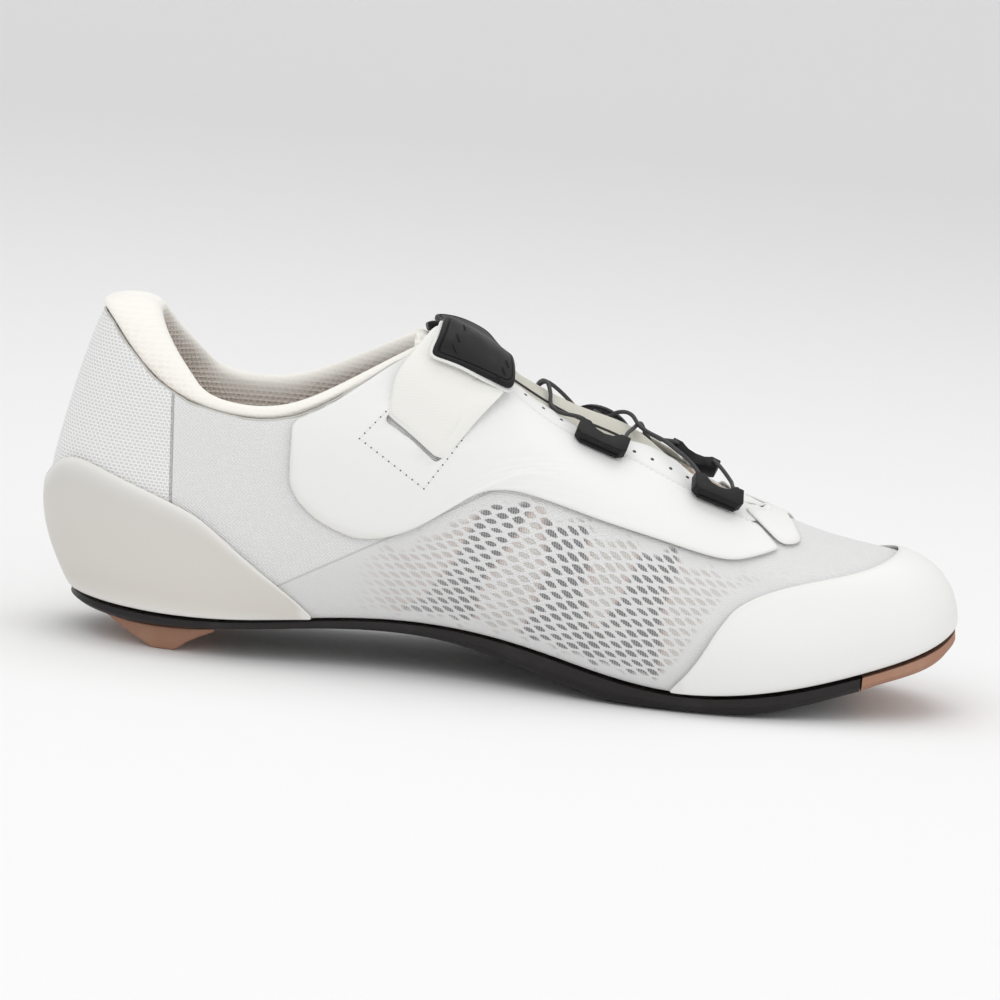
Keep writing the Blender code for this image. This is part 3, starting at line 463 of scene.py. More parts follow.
def skin_finish(colours):
    """Smooth synthetic leather with a very fine grain, and edges painted a warm grey, partly the raw
    edge's colour and partly shade.
    """
    recipe = Recipe("white_skin", colours.skin, 0.42, Coat_Weight=0.06, Coat_Roughness=0.35)
    point = recipe.place()[0]
    rim = recipe.math("POWER", recipe.attribute("rim"), 5.0)
    cloudy = recipe.step(recipe.noise(point, 26.0, 2.0), 0.35, 0.75)
    base = recipe.mix(recipe.times(cloudy, 0.25), colours.skin, (0.79, 0.79, 0.79))
    # Rims painted a warm grey: partly the raw edge's own colour, partly painted shade
    recipe.colour(recipe.mix(recipe.times(rim, 0.5), base, (0.72, 0.71, 0.67)))
    grain = recipe.node("TexVoronoi", {"feature": "SMOOTH_F1"}, Vector=point, Scale=1900.0)
    recipe.relief(grain.outputs["Distance"], 0.00003)
    recipe.relief(recipe.noise(point, 240.0, 2.0), 0.00004)
    recipe.roughness(recipe.blend(recipe.noise(point, 60.0), 0.36, 0.50))
    return recipe.material


def counter_finish(colours):
    """Warm grey moulded shell, paler towards its lower part and along its edges."""
    recipe = Recipe("heel_shell", colours.counter, 0.40, Coat_Weight=0.10, Coat_Roughness=0.3)
    point, _, _, z = recipe.place()
    rim = recipe.math("POWER", recipe.attribute("rim"), 2.0)
    base = recipe.mix(recipe.step(z, 0.070, 0.010), colours.counter, (0.66, 0.63, 0.58))
    recipe.colour(recipe.mix(recipe.times(rim, 0.8), base, (0.80, 0.79, 0.76)))
    recipe.relief(recipe.noise(point, 700.0), 0.00004)
    recipe.roughness(recipe.blend(recipe.noise(point, 45.0), 0.34, 0.48))
    return recipe.material


def tongue_finish(colours):
    """Padded tongue: spacer mesh at its top, then a smooth pad with a fine knit."""
    recipe = Recipe("tongue_pad", colours.tongue, 0.85, Sheen_Weight=0.2)
    point, x, _, _ = recipe.place()
    front = recipe.step(x, -0.012, -0.006)
    pores = recipe.times(recipe.cells(recipe.cloth(), *PADDING_PORES, 1.0), 0.30)
    threads = recipe.times(recipe.cells(recipe.cloth(), *TONGUE_KNIT, 1.0), 0.18)
    base = recipe.mix(front, colours.cream, colours.tongue)
    open_cells = recipe.blend(front, pores, threads)
    recipe.colour(recipe.mix(open_cells, base, (0.40, 0.36, 0.30)))
    recipe.sink(open_cells, 0.0004)
    recipe.relief(recipe.noise(point, 1200.0), 0.00005)
    return recipe.material


def moulded_finish(name, colour, roughness, grain, worn):
    """Moulded plastic or rubber with a fine texture and slightly worn patches."""
    recipe = Recipe(name, colour, roughness, Specular_IOR_Level=0.22)
    point = recipe.place()[0]
    wear = recipe.step(recipe.noise(point, 90.0, 4.0), 0.50, 0.75)
    recipe.colour(recipe.mix(recipe.times(wear, 0.5), colour, worn))
    recipe.relief(recipe.noise(point, grain), 0.00005)
    recipe.roughness(recipe.blend(recipe.noise(point, 70.0), roughness - 0.06, roughness + 0.08))
    return recipe.material


def webbing_finish(colours):
    """Woven strap, ribbed across its length."""
    recipe = Recipe("webbing", colours.webbing, 0.75, Sheen_Weight=0.2)
    weave = recipe.cells(recipe.cloth(), *WEBBING_RIBS, 1.0)
    recipe.colour(recipe.mix(recipe.times(weave, 0.08), colours.webbing, (0.5, 0.49, 0.45)))
    recipe.sink(weave, 0.00003)
    return recipe.material


def braid_finish(colours):
    """Braided cord."""
    recipe = Recipe("braid", colours.cord, 0.55)
    point = recipe.place()[0]
    braid = recipe.node("TexVoronoi", Vector=point, Scale=2600.0).outputs["Distance"]
    recipe.colour(recipe.mix(recipe.times(braid, 0.5), colours.cord, (0.07, 0.07, 0.07)))
    recipe.relief(braid, 0.0001)
    return recipe.material


def plain_finish(name, colour, roughness):
    """A small dark or pale detail with a little tooth."""
    recipe = Recipe(name, colour, roughness)
    recipe.relief(recipe.noise(recipe.place()[0], 1800.0), 0.00003)
    return recipe.material


def merged_copy(node):
    """A node's surface as one joined mesh, in quads where its triangles pair up."""
    bm = bmesh.new()
    bm.from_mesh(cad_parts[node].data)
    bmesh.ops.remove_doubles(bm, verts=bm.verts, dist=2e-6)
    bmesh.ops.join_triangles(
        bm,
        faces=bm.faces,
        angle_face_threshold=math.radians(60.0),
        angle_shape_threshold=math.radians(60.0),
    )
    return bm


def sharp_edges(bm, degrees):
    edges = [edge for edge in bm.edges if len(edge.link_faces) == 2]
    return [edge for edge in edges if edge.calc_face_angle() > math.radians(degrees)]


def round_edges(bm, degrees, width, segments=3):
    """Rounds the edges that turn by more than an angle."""
    bmesh.ops.bevel(
        bm,
        geom=sharp_edges(bm, degrees),
        offset=width,
        segments=segments,
        profile=0.5,
        affect="EDGES",
        material=-1,
    )


def join_flats(bm, degrees):
    """Joins faces that lie nearly flat to each other."""
    bmesh.ops.dissolve_limit(bm, angle_limit=math.radians(degrees), verts=bm.verts, edges=bm.edges)


def mark_rims(bm, wall):
    """Marks the vertices on the thin edges of a sheet, whose wall is known."""
    layer = bm.verts.layers.float.new("rim")
    for edge in bm.edges:
        if edge.calc_length() < wall:
            for vert in edge.verts:
                vert[layer] = 1.0


def add_piece(bm, name, materials, slot, levels=0, replaces=(), smooth=math.radians(45.0)):
    """Makes a finished piece that rides on the shoe, subdivided and shaded smooth."""
    mesh = bpy.data.meshes.new(name)
    bm.to_mesh(mesh)
    bm.free()
    piece = bpy.data.objects.new(name, mesh)
    bpy.context.scene.collection.objects.link(piece)
    stale = mesh.attributes.get("custom_normal")
    if stale:
        mesh.attributes.remove(stale)
    if levels:
        rounding = piece.modifiers.new("rounding", "SUBSURF")
        rounding.levels = rounding.render_levels = levels
        graph = bpy.context.evaluated_depsgraph_get()
        finer = bpy.data.meshes.new_from_object(piece.evaluated_get(graph))
        piece.modifiers.clear()
        piece.data = finer
        bpy.data.meshes.remove(mesh)
    piece.data.materials.clear()
    for material in materials:
        piece.data.materials.append(material)
    piece.data.shade_smooth()
    piece.data.set_sharp_from_angle(angle=smooth)
    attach(piece, BODY)
    if replaces:
        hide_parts(*replaces)
    return piece


def smooth_share(value, start, end):
    share = min(max((value - start) / (end - start), 0.0), 1.0)
    return share * share * (3.0 - 2.0 * share)


def unrolled(point):
    """Distance along the shoe and up its side, unrolled round heel, toe and instep."""
    side = abs(point.y)
    along = point.x
    if point.x < HEEL_CENTRE:
        along = HEEL_CENTRE - HEEL_RADIUS * math.atan2(HEEL_CENTRE - point.x, side)
    if point.x > TOE_CENTRE:
        along = TOE_CENTRE + TOE_RADIUS * math.atan2(point.x - TOE_CENTRE, side)
    over = GIRTH_RADIUS * math.atan2(point.z - AXIS_HEIGHT, side)
    forward = smooth_share(point.x, QUARTER_END, BALL_START)
    return along, (1.0 - forward) * point.z + forward * over


def from_top(point):
    return point.x, abs(point.y)


def round_instep(point):
    """Distance along the shoe and round the instep, for a band across it."""
    return point.x - 0.3 * point.z, 0.035 * math.atan2(point.z - 0.060, point.y)


def lay_weave(piece, place=unrolled, top=None):
    """Gives a piece its places on the cloth as its own UV map, flat on top past a given x."""
    mesh = piece.data
    layer = mesh.uv_layers.new(name="weave")
    for face in mesh.polygons:
        level = top is not None and face.center.x > top and face.normal.z > 0.72
        for loop in face.loop_indices:
            point = mesh.vertices[mesh.loops[loop].vertex_index].co
            layer.data[loop].uv = from_top(point) if level else place(point)


def surface_tree(piece):
    bm = bmesh.new()
    bm.from_mesh(piece.data)
    tree = BVHTree.FromBMesh(bm)
    bm.free()
    return tree


def piece_named(name):
    piece = bpy.data.objects.get(name)
    if piece is None:
        raise RuntimeError(f"{name} isn't made yet")
    return piece


def from_side(tree, x, z, side):
    """Where a level line from the side first meets a surface: place and normal."""
    place, normal = tree.ray_cast(Vector((x, side * 0.2, z)), Vector((0.0, -side, 0.0)))[:2]
    return (place, normal) if place else None


def from_above(tree, x, y):
    place, normal = tree.ray_cast(Vector((x, y, 0.2)), Vector((0.0, 0.0, -1.0)))[:2]
    return (place, normal) if place else None


def edge_in_throat(tree, x, side):
    """How far out of the middle a surface starts, looking down into the throat."""
    out = 0.004
    while out < 0.030:
        if from_above(tree, x, side * out):
            return out
        out += 0.00025
    return None


def tube(name, points, radius, material, slot, replaces=(), smooth_path=True):
    """A round cord through the points, made a mesh."""
    curve = bpy.data.curves.new(name, "CURVE")
    curve.dimensions = "3D"
    curve.bevel_depth = radius
    curve.bevel_resolution = 3
    curve.resolution_u = 8
    curve.use_fill_caps = True
    spline = curve.splines.new("BEZIER" if smooth_path else "POLY")
    if smooth_path:
        spline.bezier_points.add(len(points) - 1)
        for bezier, point in zip(spline.bezier_points, points):
            bezier.co = point
            bezier.handle_left_type = bezier.handle_right_type = "AUTO"
    else:
        spline.points.add(len(points) - 1)
        for knot, point in zip(spline.points, points):
            knot.co = (*point, 1.0)
    route = bpy.data.objects.new(name + "_route", curve)
    bpy.context.scene.collection.objects.link(route)
    graph = bpy.context.evaluated_depsgraph_get()
    mesh = bpy.data.meshes.new_from_object(route.evaluated_get(graph))
    bpy.data.objects.remove(route)
    bm = bmesh.new()
    bm.from_mesh(mesh)
    bpy.data.meshes.remove(mesh)
    bmesh.ops.remove_doubles(bm, verts=bm.verts, dist=1e-6)
    bmesh.ops.recalc_face_normals(bm, faces=bm.faces)
    return add_piece(bm, name, [material], slot, replaces=replaces)


def lower_crown(bm):
    """Lowers the crown of the instep a little, for the strap, its plate and the tongue."""
    for vert in bm.verts:
        place = vert.co
        share = smooth_share(place.y, -0.016, 0.0) * smooth_share(-place.y, -0.024, -0.011)
        share *= smooth_share(place.z, 0.090, 0.099)
        place.z -= CROWN_DROP * share


def lean_back(bm):
    """Leans the inner half of the strap and its plate back towards the heel."""
    for vert in bm.verts:
        place = vert.co
        share = smooth_share(-place.y, 0.002, 0.020) * smooth_share(place.z, 0.078, 0.092)
        back = share * (STRAP_LEAN + STRAP_LEAN_REAR * smooth_share(-place.x, 0.004, 0.020))
        place.x -= back
        place.z += STRAP_RISE * back
    lower_crown(bm)


def facing(place, normal, ahead):
    """A matrix that puts +Z along a surface's normal and +X ahead along it."""
    out = normal.normalized()
    forward = (ahead - ahead.dot(out) * out).normalized()
    turned = Matrix((forward, out.cross(forward), out)).transposed().to_4x4()
    return Matrix.Translation(place) @ turned


def add_dot(bm, place, normal, radius):
    """A small hole: a shallow disc on the surface, whose dark material paints the shade in the hole."""
    matrix = facing(place + 0.00004 * normal, normal, Vector((1.0, 0.0, 0.1)))
    bmesh.ops.create_cone(
        bm,
        cap_ends=True,
        segments=10,
        radius1=radius,
        radius2=radius * 0.85,
        depth=0.00012,
        matrix=matrix,
    )


def add_stitch(bm, place, normal, ahead, sizes):
    """One stitch: a short rounded bar of thread pressed into the surface."""
    matrix = facing(place, normal, ahead)
    made = bmesh.ops.create_uvsphere(bm, u_segments=6, v_segments=4, radius=0.5)
    size = Matrix.Diagonal((sizes.stitch_length, sizes.stitch_width, sizes.stitch_width, 1.0))
    bmesh.ops.transform(bm, matrix=matrix @ size, verts=made["verts"])


def walk(corners, pitch):
    """Places along a line of corners, a pitch apart, each with its direction."""
    for start, end in zip(corners, corners[1:]):
        start, end = Vector(start), Vector(end)
        count = max(round((end - start).length / pitch), 1)
        for step in range(count):
            yield start.lerp(end, step / count), (end - start).normalized()


class SHOE_OT_stage(Operator):
    """Pale sweep, soft studio light and the camera"""

    bl_idname = "shoe.stage"
    bl_label = "Stage"

    def execute(self, context):
        paper = Recipe("paper", (0.86, 0.86, 0.86), 0.9)
        bm = bmesh.new()
        corners = ((-3.0, -6.0, 0.0), (3.0, -6.0, 0.0))
        front = [bm.verts.new(corner) for corner in corners]
        edge = bm.edges.new(front)
        for move in ((0.0, 8.0, 0.0), (0.0, 0.5, 0.5), (0.0, 0.0, 3.5)):
            made = bmesh.ops.extrude_edge_only(bm, edges=[edge])["geom"]
            verts = [item for item in made if isinstance(item, bmesh.types.BMVert)]
            edge = next(item for item in made if isinstance(item, bmesh.types.BMEdge))
            bmesh.ops.translate(bm, verts=verts, vec=move)
        bmesh.ops.recalc_face_normals(bm, faces=bm.faces)
        mesh = bpy.data.meshes.new("sweep")
        bm.to_mesh(mesh)
        bm.free()
        mesh.materials.append(paper.material)
        mesh.shade_smooth()
        sweep = bpy.data.objects.new("sweep", mesh)
        bend = sweep.modifiers.new("bend", "BEVEL")
        bend.width = 0.6
        bend.segments = 12
        context.scene.collection.objects.link(sweep)

        world = context.scene.world or bpy.data.worlds.new("studio")
        context.scene.world = world
        world.use_nodes = True
        sky = world.node_tree.nodes["Background"]
        sky.inputs["Color"].default_value = (1.0, 1.0, 1.0, 1.0)
        sky.inputs["Strength"].default_value = SKY_POWER
        for name, spot, width, power in LAMPS:
            light = bpy.data.lights.new(name, "AREA")
            light.shape = "SQUARE"
            light.size = width
            light.energy = power
            lamp = bpy.data.objects.new(name, light)
            lamp.location = spot
            aim = Vector((0.0, 0.0, 0.05)) - Vector(spot)
            lamp.rotation_euler = aim.to_track_quat("-Z", "Y").to_euler()
            context.scene.collection.objects.link(lamp)

        back = Vector((0.0, -math.cos(CAMERA_RISE), math.sin(CAMERA_RISE)))
        camera = bpy.data.cameras.new("camera")
        camera.lens = CAMERA_LENS
        camera.clip_start = 0.05
        camera.clip_end = 20.0
        viewer = bpy.data.objects.new("camera", camera)
        level = (-back).to_track_quat("-Z", "Y").to_matrix().to_4x4()
        rolled = Matrix.Rotation(CAMERA_ROLL, 4, "Z")
        spot = Vector(CAMERA_AIM) + CAMERA_DISTANCE * back
        viewer.matrix_world = Matrix.Translation(spot) @ level @ rolled
        context.scene.collection.objects.link(viewer)
        context.scene.camera = viewer
        context.scene.view_settings.view_transform = "Standard"
        return {"FINISHED"}


class SHOE_OT_upper(Operator):
    """Knitted upper with its lining"""

    bl_idname = "shoe.upper"
    bl_label = "Upper"

    def execute(self, context):
        colours, sizes = context.scene.shoe_colours, context.scene.shoe_sizes
        finishes = [knit_finish(colours, sizes), lining_finish(colours)]
        piece = add_piece(merged_copy("upper"), "knitted_upper", finishes, "knit", 2, ("upper",))
        lay_weave(piece, top=0.058)
        mesh = piece.data
        for face in mesh.polygons:
            spine = Vector((min(max(face.center.x, -0.095), 0.090), 0.0, 0.045))
            spine.z -= 0.020 * smooth_share(face.center.x, 0.0, 0.090)
            if face.normal.dot(face.center - spine) < 0.0:
                face.material_index = 1
        edges = []
        for node in ("eyestay_inner", "eyestay_outer", "toe_cap", "outsole", "toe_bumper"):
            edges += [vert.co.copy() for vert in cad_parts[node].data.vertices]
        near = KDTree(len(edges))
        for index, place in enumerate(edges):
            near.insert(place, index)
        near.balance()
        clear = mesh.attributes.new("clear", "FLOAT", "POINT")
        for vert in mesh.vertices:
            clear.data[vert.index].value = near.find(vert.co)[2]
        return {"FINISHED"}


class SHOE_OT_overlays(Operator):
    """Smooth overlays: toe cap, eyestays, front tab and heel counter"""

    bl_idname = "shoe.overlays"
    bl_label = "Overlays"

    def execute(self, context):
        colours = context.scene.shoe_colours
        skin = skin_finish(colours)
        parts = (
            ("toe_cap", "smooth_toe_cap", skin, "white_skin"),
            ("eyestay_inner", "smooth_eyestay_inner", skin, "white_skin"),
            ("eyestay_outer", "smooth_eyestay_outer", skin, "white_skin"),
            ("front_tab", "smooth_front_tab", skin, "white_skin"),
            ("heel_counter", "moulded_heel_counter", counter_finish(colours), "counter"),
        )
        for node, name, finish, slot in parts:
            bm = merged_copy(node)
            mark_rims(bm, 0.0014)
            add_piece(bm, name, [finish], slot, 2, (node,))
        return {"FINISHED"}


class SHOE_OT_collar(Operator):
    """Padded collar with its seam, and the insole"""

    bl_idname = "shoe.collar"
    bl_label = "Collar and insole"

    def execute(self, context):
        colours, sizes = context.scene.shoe_colours, context.scene.shoe_sizes
        bm = merged_copy("collar_padding")
        for vert in bm.verts:
            share = smooth_share(vert.co.x, -0.058, -0.037) * smooth_share(vert.co.z, 0.080, 0.088)
            vert.co.x += COLLAR_REACH * share
            vert.co.y *= 1.0 - COLLAR_NARROWING * share
            vert.co.z += COLLAR_RISE * share
            share = smooth_share(-vert.co.x, 0.086, 0.108) * smooth_share(vert.co.z, 0.068, 0.088)
            share *= max(vert.normal.dot(Vector((0.8, 0.0, 0.6))), 0.0)
            vert.co.x += HEEL_ROLL * share
        pad = add_piece(bm, "soft_collar", [spacer_finish(colours)], "padding", 2)
        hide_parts("collar_padding")
        lay_weave(pad)
        tops = {}
        places = [unrolled(vert.co)[0] for vert in pad.data.vertices]
        for vert, along in zip(pad.data.vertices, places):
            spot = round(along / 0.004)
            tops[spot] = max(tops.get(spot, 0.0), vert.co.z)
        depth = pad.data.attributes.new("depth", "FLOAT", "POINT")
        for vert, along in zip(pad.data.vertices, places):
            depth.data[vert.index].value = tops[round(along / 0.004)] - vert.co.z

        bed = merged_copy("insole")
        for vert in bed.verts:
            vert.co.y *= INSOLE_SPREAD
        sole = add_piece(bed, "soft_insole", [lining_finish(colours)], "insole_fabric", 1)
        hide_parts("insole")
        lay_weave(sole, from_top)

        pad_tree = surface_tree(pad)
        cloth_tree = surface_tree(piece_named("knitted_upper"))
        # Level rays towards the foot: along the inner side, round the heel, along the outer side
        rays = []
        for step in range(22):
            x = -0.034 - 0.0025 * step
            rays.append((Vector((x, INNER * 0.1, 0.0)), Vector((0.0, 1.0, 0.0))))
        for step in range(1, 24):
            angle = math.pi * (1.5 - step / 24.0)
            outward = Vector((math.cos(angle), math.sin(angle), 0.0))
            rays.append((Vector((-0.089, 0.0, 0.0)) + 0.1 * outward, -outward))
        for step in range(22):
            x = -0.0865 + 0.0025 * step
            rays.append((Vector((x, OUTER * 0.1, 0.0)), Vector((0.0, -1.0, 0.0))))
        seam = []
        for start, direction in rays:
            height = 0.108
            while height > 0.055:
                origin = start + Vector((0.0, 0.0, height))
                pad_far = pad_tree.ray_cast(origin, direction)[3]
                cloth_hit = cloth_tree.ray_cast(origin, direction)
                if cloth_hit[0] and (pad_far is None or cloth_hit[3] < pad_far):
                    seam.append(cloth_hit[0])
                    break
                height -= 0.0003
        # The piping's grey is partly the seam's own colour, partly the painted shadow line under the
        # collar
        line = plain_finish("seam_and_shadow_line", (0.58, 0.57, 0.54), 0.8)
        tube("collar_seam", seam, sizes.seam_diameter / 2.0, line, "padding")
        return {"FINISHED"}


class SHOE_OT_tongue(Operator):
    """Padded tongue with its dark piping, and the lace flaps with their holes"""

    bl_idname = "shoe.tongue"
    bl_label = "Tongue and flaps"

    def execute(self, context):
        colours, sizes = context.scene.shoe_colours, context.scene.shoe_sizes
        bm = merged_copy("tongue")
        lower_crown(bm)
        pad = add_piece(bm, "soft_tongue", [tongue_finish(colours)], "tongue_fabric", 2, ("tongue",))
        lay_weave(pad)
        tree = surface_tree(pad)
        cloth = surface_tree(piece_named("knitted_upper"))
        dark = plain_finish("piping", (0.03, 0.03, 0.03), 0.6)
        white = skin_finish(colours)
        holes = bmesh.new()
        for side, suffix in ((INNER, "inner"), (OUTER, "outer")):
            points = []
            for step in range(13):
                share = step / 12.0
                out = 0.0068 + 0.0035 * share**3
                hit = from_above(tree, -0.002 + 0.050 * share, side * out)
                if hit:
                    points.append(hit[0] + 0.0001 * hit[1])
            tube("tongue_piping_" + suffix, points, 0.00042, dark, "tongue_fabric")
            flaps = []
            for count, lobe in enumerate(FLAP_LOBES):
                flap = self.add_flap(cloth, side, lobe, f"lace_flap_{suffix}_{count + 1}", white, sizes)
                flaps.append(surface_tree(flap))
            for x in FLAP_HOLES:
                edge = edge_in_throat(cloth, x, side)
                for flap in flaps:
                    hit = from_above(flap, x, side * (edge + 0.0012)) if edge else None
                    if hit:
                        add_dot(holes, hit[0], hit[1], sizes.flap_hole_radius)
        bmesh.ops.recalc_face_normals(holes, faces=holes.faces)
        # The flap holes are dark discs: painted shade in the holes
        add_piece(holes, "flap_holes", [dark], "white_skin")
        return {"FINISHED"}

    def flap_point(self, cloth, x, side, edge, out, lift):
        """A place on the flap: on the upper, or straight on over the throat's edge."""
        hem = edge + FLAP_HEM
        hit = from_above(cloth, x, side * max(out, hem))
        if hit is None:
            return None
        place, normal = hit
        inward = Vector((0.0, -side, 0.0))
        inward = (inward - inward.dot(normal) * normal).normalized()
        return place + lift * normal + max(hem - out, 0.0) * inward

    def add_flap(self, cloth, side, lobe, name, material, sizes):
        """One lobe of the flap: a sheet on the throat's edge, rounded at both ends."""
        bm = bmesh.new()
        bmesh.ops.create_grid(bm, x_segments=24, y_segments=8, size=1.0)
        start, end, rise = lobe
        reach = sizes.flap_reach + rise
        lost = []
        for vert in bm.verts:
            x = start + (end - start) * (vert.co.x + 1.0) / 2.0
            edge = edge_in_throat(cloth, x, side) or 0.014
            crown = math.sqrt(max(1.0 - abs(vert.co.x) ** 3.0, 0.0))
            inner = edge + FLAP_ROUNDING - (FLAP_ROUNDING + reach) * crown
            out = inner + (vert.co.y + 1.0) / 2.0 * (edge + sizes.flap_width - inner)
            place = self.flap_point(cloth, x, side, edge, out, 0.0002 + sizes.flap_wall)
            if place is None:
                lost.append(vert)
            else:
                over = max(edge + FLAP_RISE_WIDTH - out, 0.0) / (reach + FLAP_RISE_WIDTH)
                vert.co = place + Vector((0.0, 0.0, rise * over))
        bmesh.ops.delete(bm, geom=lost, context="VERTS")
        bmesh.ops.recalc_face_normals(bm, faces=bm.faces)
        if sum(face.normal.z for face in bm.faces) < 0.0:
            bmesh.ops.reverse_faces(bm, faces=bm.faces)
        bmesh.ops.solidify(bm, geom=bm.faces[:], thickness=sizes.flap_wall)
        bmesh.ops.recalc_face_normals(bm, faces=bm.faces)
        mark_rims(bm, sizes.flap_wall * 1.2)
        return add_piece(bm, name, [material], "white_skin", 1)


class SHOE_OT_sole(Operator):
    """Moulded sole with its rubber toe and heel pad"""

    bl_idname = "shoe.sole"
    bl_label = "Sole"

    def execute(self, context):
        colours = context.scene.shoe_colours
        black = moulded_finish("sole_plastic", colours.sole, 0.38, 900.0, (0.035, 0.033, 0.033))
        rubber = moulded_finish("copper_rubber", colours.copper, 0.62, 1100.0, (0.44, 0.27, 0.19))
        for node, name, finish, slot in (
            ("outsole", "moulded_sole", black, "sole"),
            ("toe_bumper", "rubber_toe", rubber, "copper_rubber"),
        ):
            bm = merged_copy(node)
            crease = bm.edges.layers.float.new("crease_edge")
            for edge in sharp_edges(bm, 30.0):
                edge[crease] = 1.0
            add_piece(bm, name, [finish], slot, 2, (node,))
        bm = merged_copy("heel_pad")
        join_flats(bm, 4.0)
        round_edges(bm, 30.0, 2.0 * context.scene.shoe_sizes.edge_radius)
        add_piece(bm, "rubber_heel_pad", [rubber], "copper_rubber", 0, ("heel_pad",))
        return {"FINISHED"}


class SHOE_OT_strap(Operator):
    """Instep strap with its grip plate"""

    bl_idname = "shoe.strap"
    bl_label = "Strap"

    def execute(self, context):
        colours, sizes = context.scene.shoe_colours, context.scene.shoe_sizes
        fabric = webbing_finish(colours)
        band = merged_copy("strap")
        lean_back(band)
        lay_weave(add_piece(band, "woven_strap", [fabric], "webbing", 2, ("strap",)), round_instep)
        tail = merged_copy("strap")
        for place, out in (((0.0, 0.0, 0.094), (0.0, 0.0, 1.0)), ((0.0, -0.012, 0.0), (0.0, 1.0, 0.0))):
            geometry = tail.verts[:] + tail.edges[:] + tail.faces[:]
            bmesh.ops.bisect_plane(tail, geom=geometry, plane_co=place, plane_no=out, clear_outer=True)
        bmesh.ops.holes_fill(tail, edges=[edge for edge in tail.edges if edge.is_boundary])
        for vert in tail.verts:
            share = smooth_share(vert.co.z, 0.092, 0.084) * smooth_share(-vert.co.y, 0.015, 0.025)
            down = TAIL_DEEPER * share * (vert.co.z - TAIL_MIDDLE[1])
            vert.co.x += TAIL_LONGER * share * (vert.co.x - TAIL_MIDDLE[0])
            vert.co.y += 0.0002 + 0.42 * down
            vert.co.z += down
        lay_weave(add_piece(tail, "strap_tail", [fabric], "webbing", 1), round_instep)
        trim = moulded_finish("black_trim", colours.trim, 0.42, 1000.0, (0.03, 0.03, 0.03))
        bm = merged_copy("strap_plate")
        upwards = [face for face in bm.faces if face.normal.z > 0.5]
        outward = sum((face.normal * face.calc_area() for face in upwards), Vector()).normalized()
        top = [face for face in bm.faces if face.normal.dot(outward) > 0.75]
        lean_back(bm)
        for width, depth in ((sizes.plate_groove, 0.0), *PLATE_INSETS):
            bmesh.ops.inset_region(bm, faces=top, thickness=width, depth=depth, use_even_offset=True)
        plate = add_piece(bm, "grip_plate", [trim], "black_nylon", 2, ("strap_plate",))
        arm = merged_copy("strap_plate_arm")
        lean_back(arm)
        middle = sum((vert.co for vert in arm.verts), Vector()) / len(arm.verts)
        for vert in arm.verts:
            vert.co += ARM_GROWTH * (vert.co - middle)
        add_piece(arm, "grip_plate_arm", [trim], "black_nylon", 2, ("strap_plate_arm",))

        pad = merged_copy("strap_plate")
        lean_back(pad)
        pad.normal_update()
        for vert in pad.verts:
            if vert.normal.dot(outward) > 0.3:
                vert.co -= PLATE_PAD_DROP * outward
        pad.normal_update()
        for vert in pad.verts:
            aside = vert.normal - vert.normal.dot(outward) * outward
            vert.co += PLATE_PAD_SPREAD * aside - PLATE_PAD_SINK * outward
        rim = plain_finish("plate_pad", (0.78, 0.78, 0.76), 0.7)
        add_piece(pad, "plate_pad", [rim], "webbing", 2)

        tree = surface_tree(plate)
        slots = bmesh.new()
        for x, z in PLATE_SLOTS:
            hit = from_side(tree, x, z, INNER)
            if hit:
                place, out = hit
                down = Vector((0.50, (0.86 * out.z - 0.50 * out.x) / out.y, -0.86))
                matrix = facing(place + 0.00012 * out, out, down)
                made = bmesh.ops.create_uvsphere(slots, u_segments=10, v_segments=6, radius=0.5)
                size = Matrix.Diagonal(SLOT_SIZE)
                bmesh.ops.transform(slots, matrix=matrix @ size, verts=made["verts"])
        hollow = plain_finish("slot_shadow", (0.003, 0.003, 0.003), 0.9)
        add_piece(slots, "grip_plate_slots", [hollow], "black_nylon")
        return {"FINISHED"}


class SHOE_OT_guides(Operator):
    """Cord guides with rounded edges and ridged sides"""

    bl_idname = "shoe.guides"
    bl_label = "Guides"

    def execute(self, context):
        colours, sizes = context.scene.shoe_colours, context.scene.shoe_sizes
        trim = moulded_finish("guide_plastic", colours.trim, 0.46, 1200.0, (0.032, 0.032, 0.034))
        for node in ("guide_rear_inner", "guide_front_inner", "guide_front_outer"):
            bm = merged_copy(node)
            join_flats(bm, 2.0)
            side = OUTER if node.endswith("outer") else INNER
            outward = Vector((0.0, side, -0.35)).normalized()
            flank = max(bm.faces, key=lambda face: face.calc_area() * max(face.normal.dot(outward), 0.0))
            self.add_ridges(flank, node, trim, sizes)
            round_edges(bm, 40.0, sizes.edge_radius)
            add_piece(bm, "moulded_" + node, [trim], "black_nylon", 0, (node,), math.radians(35.0))
        return {"FINISHED"}

    def add_ridges(self, flank, node, trim, sizes):
        """Two long ridges on a guide's outer side, sunk a little into it."""
        long_edges = sorted(flank.edges, key=lambda edge: edge.calc_length())[-2:]
        low, high = sorted(long_edges, key=lambda edge: sum(vert.co.z for vert in edge.verts))
        first = sorted((vert.co for vert in low.verts), key=lambda place: place.x)
        last = sorted((vert.co for vert in high.verts), key=lambda place: place.x)
        for count, share in enumerate((0.18, 0.72)):
            path = [a.lerp(b, share) - 0.0001 * flank.normal for a, b in zip(first, last)]
            ends = [path[0].lerp(path[1], 0.02), path[0].lerp(path[1], 0.98)]
            name = f"{node}_ridge_{count + 1}"
            tube(name, ends, sizes.ridge_radius, trim, "black_nylon", smooth_path=False)


